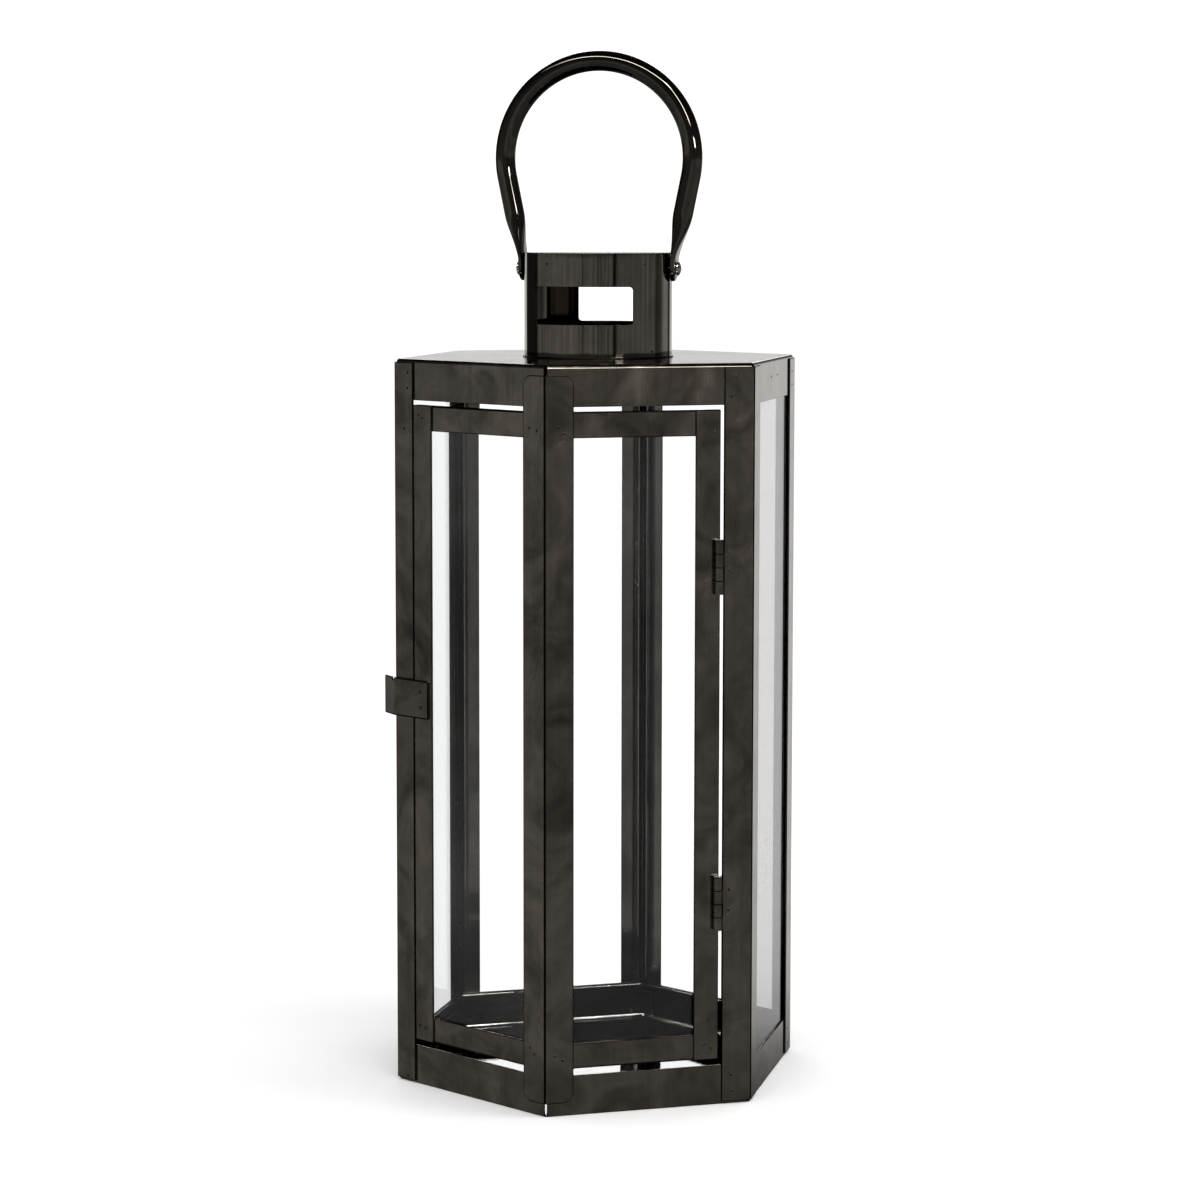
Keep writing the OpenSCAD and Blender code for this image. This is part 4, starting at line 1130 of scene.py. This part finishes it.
# %% The weld marks
r = np.linspace(0, 1, 9)
WELD_R, WELD_RIM = 0.75, 0.12
WELD = np.stack((0.04 + WELD_R * r, WELD_RIM * np.sin(math.pi * r) ** 2 * (r > 0.3) + 0.02), 1)
INNER_WELD = WELD * (1.6, -2.5)
POST_WELDS = ((11.5, 425.0), (11.3, 416.0), (8.5, 392.0), (9.3, 3.8))
HINGE_POST_WELDS = ((11.0, 425.6), (14.4, 414.0), (12.4, 17.4), (11.2, 7.7),
                    (15.6, 324.5), (15.3, 314.0), (14.3, 127.3), (14.5, 115.4))
BAND_WELDS = ((54, 422.5), (72, 423))
RIGHT_WELDS = [(10.5, z) for z in (424.0, 414.5, 15.0, 6.5)]
LEFT_WELDS = [(9.5, z) for z in (423.0, 415.0, 16.0, 7.0)]
BASE_WELDS = [(side * (SIDE / 2 - 9.0), z) for side in (-1, 1) for z in (5.0, 15.5)]
COLLAR_WELDS = ((241, 488.5), (322, 488.5), (237, 435.7), (330, 437))  # compass angle, height
LATCH_SIDE_WELDS = ((21.4, 400.4), (24.0, 399.0), (20.5, 36.4), (25.3, 35.1),
                    (112.9, 397.2), (119.1, 395.6), (113.3, 39.4), (116.8, 35.9))
HINGE_SIDE_WELDS = ((28.0, 396.6), (24.1, 394.0), (29.1, 36.8), (25.1, 34.3),
                    (117.6, 397.8), (113.7, 394.3), (119.1, 36.2), (114.6, 33.0))


def welds(where, spots, q=0.0, profile=WELD):
    """A weld mark at each (u, z) of a face, at depth q."""
    return [button(profile, where, u, z, q) for u, z in spots]


marks = welds(LATCH_SIDE, POST_WELDS) + welds(HINGE_SIDE, HINGE_POST_WELDS)
for name in ("right", "back", "back_left"):
    marks += welds(on_right_of(CORNERS[name]), RIGHT_WELDS)
marks += welds(on_right_of(CORNERS["hinge"]), BAND_WELDS, BAND_Q)
marks += [button(WELD, on_axis(a), 0.0, z, -COLLAR_R) for a, z in COLLAR_WELDS]
for face in FIXED_FACES.values():
    marks += welds(on_face(face), BASE_WELDS, BAND_Q + SHEET, INNER_WELD)
for name in ("right", "back", "back_left", "left"):
    marks += welds(on_left_of(CORNERS[name]), LEFT_WELDS)
make_piece("weld_marks_frame", marks, weld_mark, "frame", closed=True)
marks = welds(LATCH_SIDE, LATCH_SIDE_WELDS, DOOR_Q) + welds(HINGE_SIDE, HINGE_SIDE_WELDS, DOOR_Q)
make_piece("weld_marks_door", marks, weld_mark, "door", closed=True)

# %% [markdown]
# A hinge's knuckles are short tubes on one pin. Where two of them meet there is a dark
# groove, so fine that only its shade is seen: a thin black ring round the pin. A fourth
# ring, closed nearly to the middle, is the shade on top of the upper knuckle.

# %% Grooves between the knuckles
GROOVE_DEPTH, GROOVE_PROUD, CAP_HOLE = 0.4, 0.06, 0.1


def groove(pin, z, inner=KNUCKLE_R - GROOVE_DEPTH):
    """A narrow ring about the axis of a hinge pin, a hair wider than the knuckles."""
    box = np.array(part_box(pin)) / MM
    outer = KNUCKLE_R + GROOVE_PROUD
    profile = np.array(((inner, -0.4), (outer, -0.3), (outer, 0.3), (inner, 0.4))) + (0, z)
    points, faces = turned(profile, 32)
    return points + (*box[:, :2].mean(0), 0), faces


for pin in ("hinge_pin_high", "hinge_pin_low"):
    z0, z1 = span(pin)
    grooves = [groove(pin, z0 + (z1 - z0) * k / 4) for k in (1, 2, 3)]
    grooves.append(groove(pin, z1, CAP_HOLE))
    make_piece(pin.replace("pin", "grooves"), grooves, painted_shade_black, "frame", closed=True)

# %% [markdown]
# ## Parts that keep their CAD shape
# The screws, nuts, hinges and the ring under the collar are right as they are. They only
# get a finish, put into the material slots of their objects.

# %% Finishes for the CAD parts
FINISH = {"hinge_pin_high": dark_nickel, "hinge_pin_low": dark_nickel,
          "handle_screws": bright_screw, "handle_nuts": bright_screw}
for name, node in NODES.items():
    if not node.hide_render:
        for place in node.material_slots:
            place.material = FINISH.get(name, black_nickel)
        print("kept CAD node", name)
